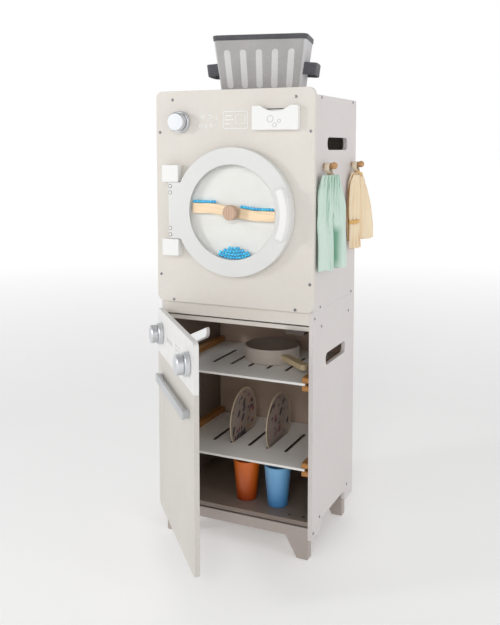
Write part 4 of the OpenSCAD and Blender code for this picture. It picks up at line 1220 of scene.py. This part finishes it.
def tape_loops():
    """Cream tapes that carry each garment on its peg, sewn into its neck or waist."""
    made = []
    top_z = PEG_Z + 5.5
    for name, y, body, slot, lean in (("trouser_loop", TROUSER_PEG_Y, "trousers", "mint_cotton", 10.0),
                                      ("shirt_loop", SHIRT_PEG_Y, "shirt", "peach_cotton", 8.0)):
        path = []
        for a in around(44):
            up = cos(a)
            low = max(0.0, -up)
            wide = 10.4 * sin(a) * (1 - 0.30 * low ** 2)
            path.append(at(HALF_W + 9.6 + lean * low ** 1.3 + 0.5 * sin(2 * a), y + wide,
                           top_z - 14.2 + (14.2 if up > 0 else 17.5) * up))
        made.append(ribbon(name, path, Vector((1, 0, 0)), 10.5, 1.2, "cream_tape", body, slot))
    return made


def shirt_trims():
    """Ochre neck binding and cuff."""
    flat = hang_place(SHIRT_PEG_Y, 50.0)
    neck = [flat(3 + 12 * cos(a), 4.2 + 3.2 * sin(a), -4 - 6.5 * cos(a) + 1.5 * sin(a)) for a in around(30)]
    cuff = []
    for a in around(48):
        wave = 0.5 * sin(9 * a)
        cuff.append(flat(-25.8 + (20.6 + wave) * cos(a), 9.6 + (4.2 + 0.3 * wave) * sin(a), -112 + wave))
    return [ribbon(name, path, Vector((0, 0, 1)), wide, thick, "ochre_trim", "shirt", "peach_cotton")
            for name, path, wide, thick in (("shirt_neck_binding", neck, 4.6, 1.6),
                                            ("shirt_cuff_band", cuff, 7.0, 1.2))]


# ---------------------------------------------------------------- studio

def lamp(name, place, aim, size, power):
    data = bpy.data.lights.new(name, "AREA")
    data.shape = "DISK"
    data.size = size
    data.energy = power
    obj = placed(name, data)
    obj.location = place
    obj.rotation_mode = "QUATERNION"
    obj.rotation_quaternion = (Vector(aim) - Vector(place)).to_track_quat("-Z", "Y")


def studio():
    deselect()
    bpy.ops.mesh.primitive_plane_add(size=120, location=(0, 0, -0.0005))
    floor = bpy.context.object
    floor.name = "floor"
    shader, place = material("pale_floor", Roughness=0.9, Specular_IOR_Level=0.1,
                                         Emission_Color=(1, 1, 1, 1))
    tint = mix(cloud(place, 3.0, 2.0), rgb(252, 252, 252), rgb(249, 249, 249))
    out(shader.inputs["Base Color"], tint)
    far = vec("LENGTH", place)
    out(shader.inputs["Emission Strength"], span(far, 1.2, 5.0, 0.24, 0.56))
    floor.data.materials.append(MADE["pale_floor"])
    world = bpy.data.worlds.new("studio")
    world.use_nodes = True
    Bench.tree = world.node_tree
    sky = world.node_tree.nodes["Background"].inputs
    way = add("TexCoord").outputs["Generated"]
    rise = split(way)[2]
    out(sky[1], span(rise, 0.22, 0.62, 1.0, 0.36))
    sky[0].default_value = (1, 1, 1, 1)
    bpy.context.scene.world = world
    lamp("key", (-2.4, -2.0, 1.3), (0, 0, 0.55), 0.5, 16)
    lamp("front", (1.1, -4.6, 2.9), (0, 0, 0.5), 1.3, 30)
    lamp("fill", (3.1, -0.7, 1.5), (0, 0, 0.6), 1.2, 8.5)
    bpy.context.scene.view_settings.view_transform = "Standard"


# ---------------------------------------------------------------- the object

add_camera()
build_groups()
finish_nodes()

panel_prints()
door_prints()
drawer_bubbles()
screw_recesses()
cap_screw_collars()
deck_screws()

basket_body()
basket_windows()
basket_straps()
basket_stitches()

mint = trousers()
peach, sleeve = shirt()
loops = tape_loops()
trims = shirt_trims()

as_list(loops[:1])

studio()
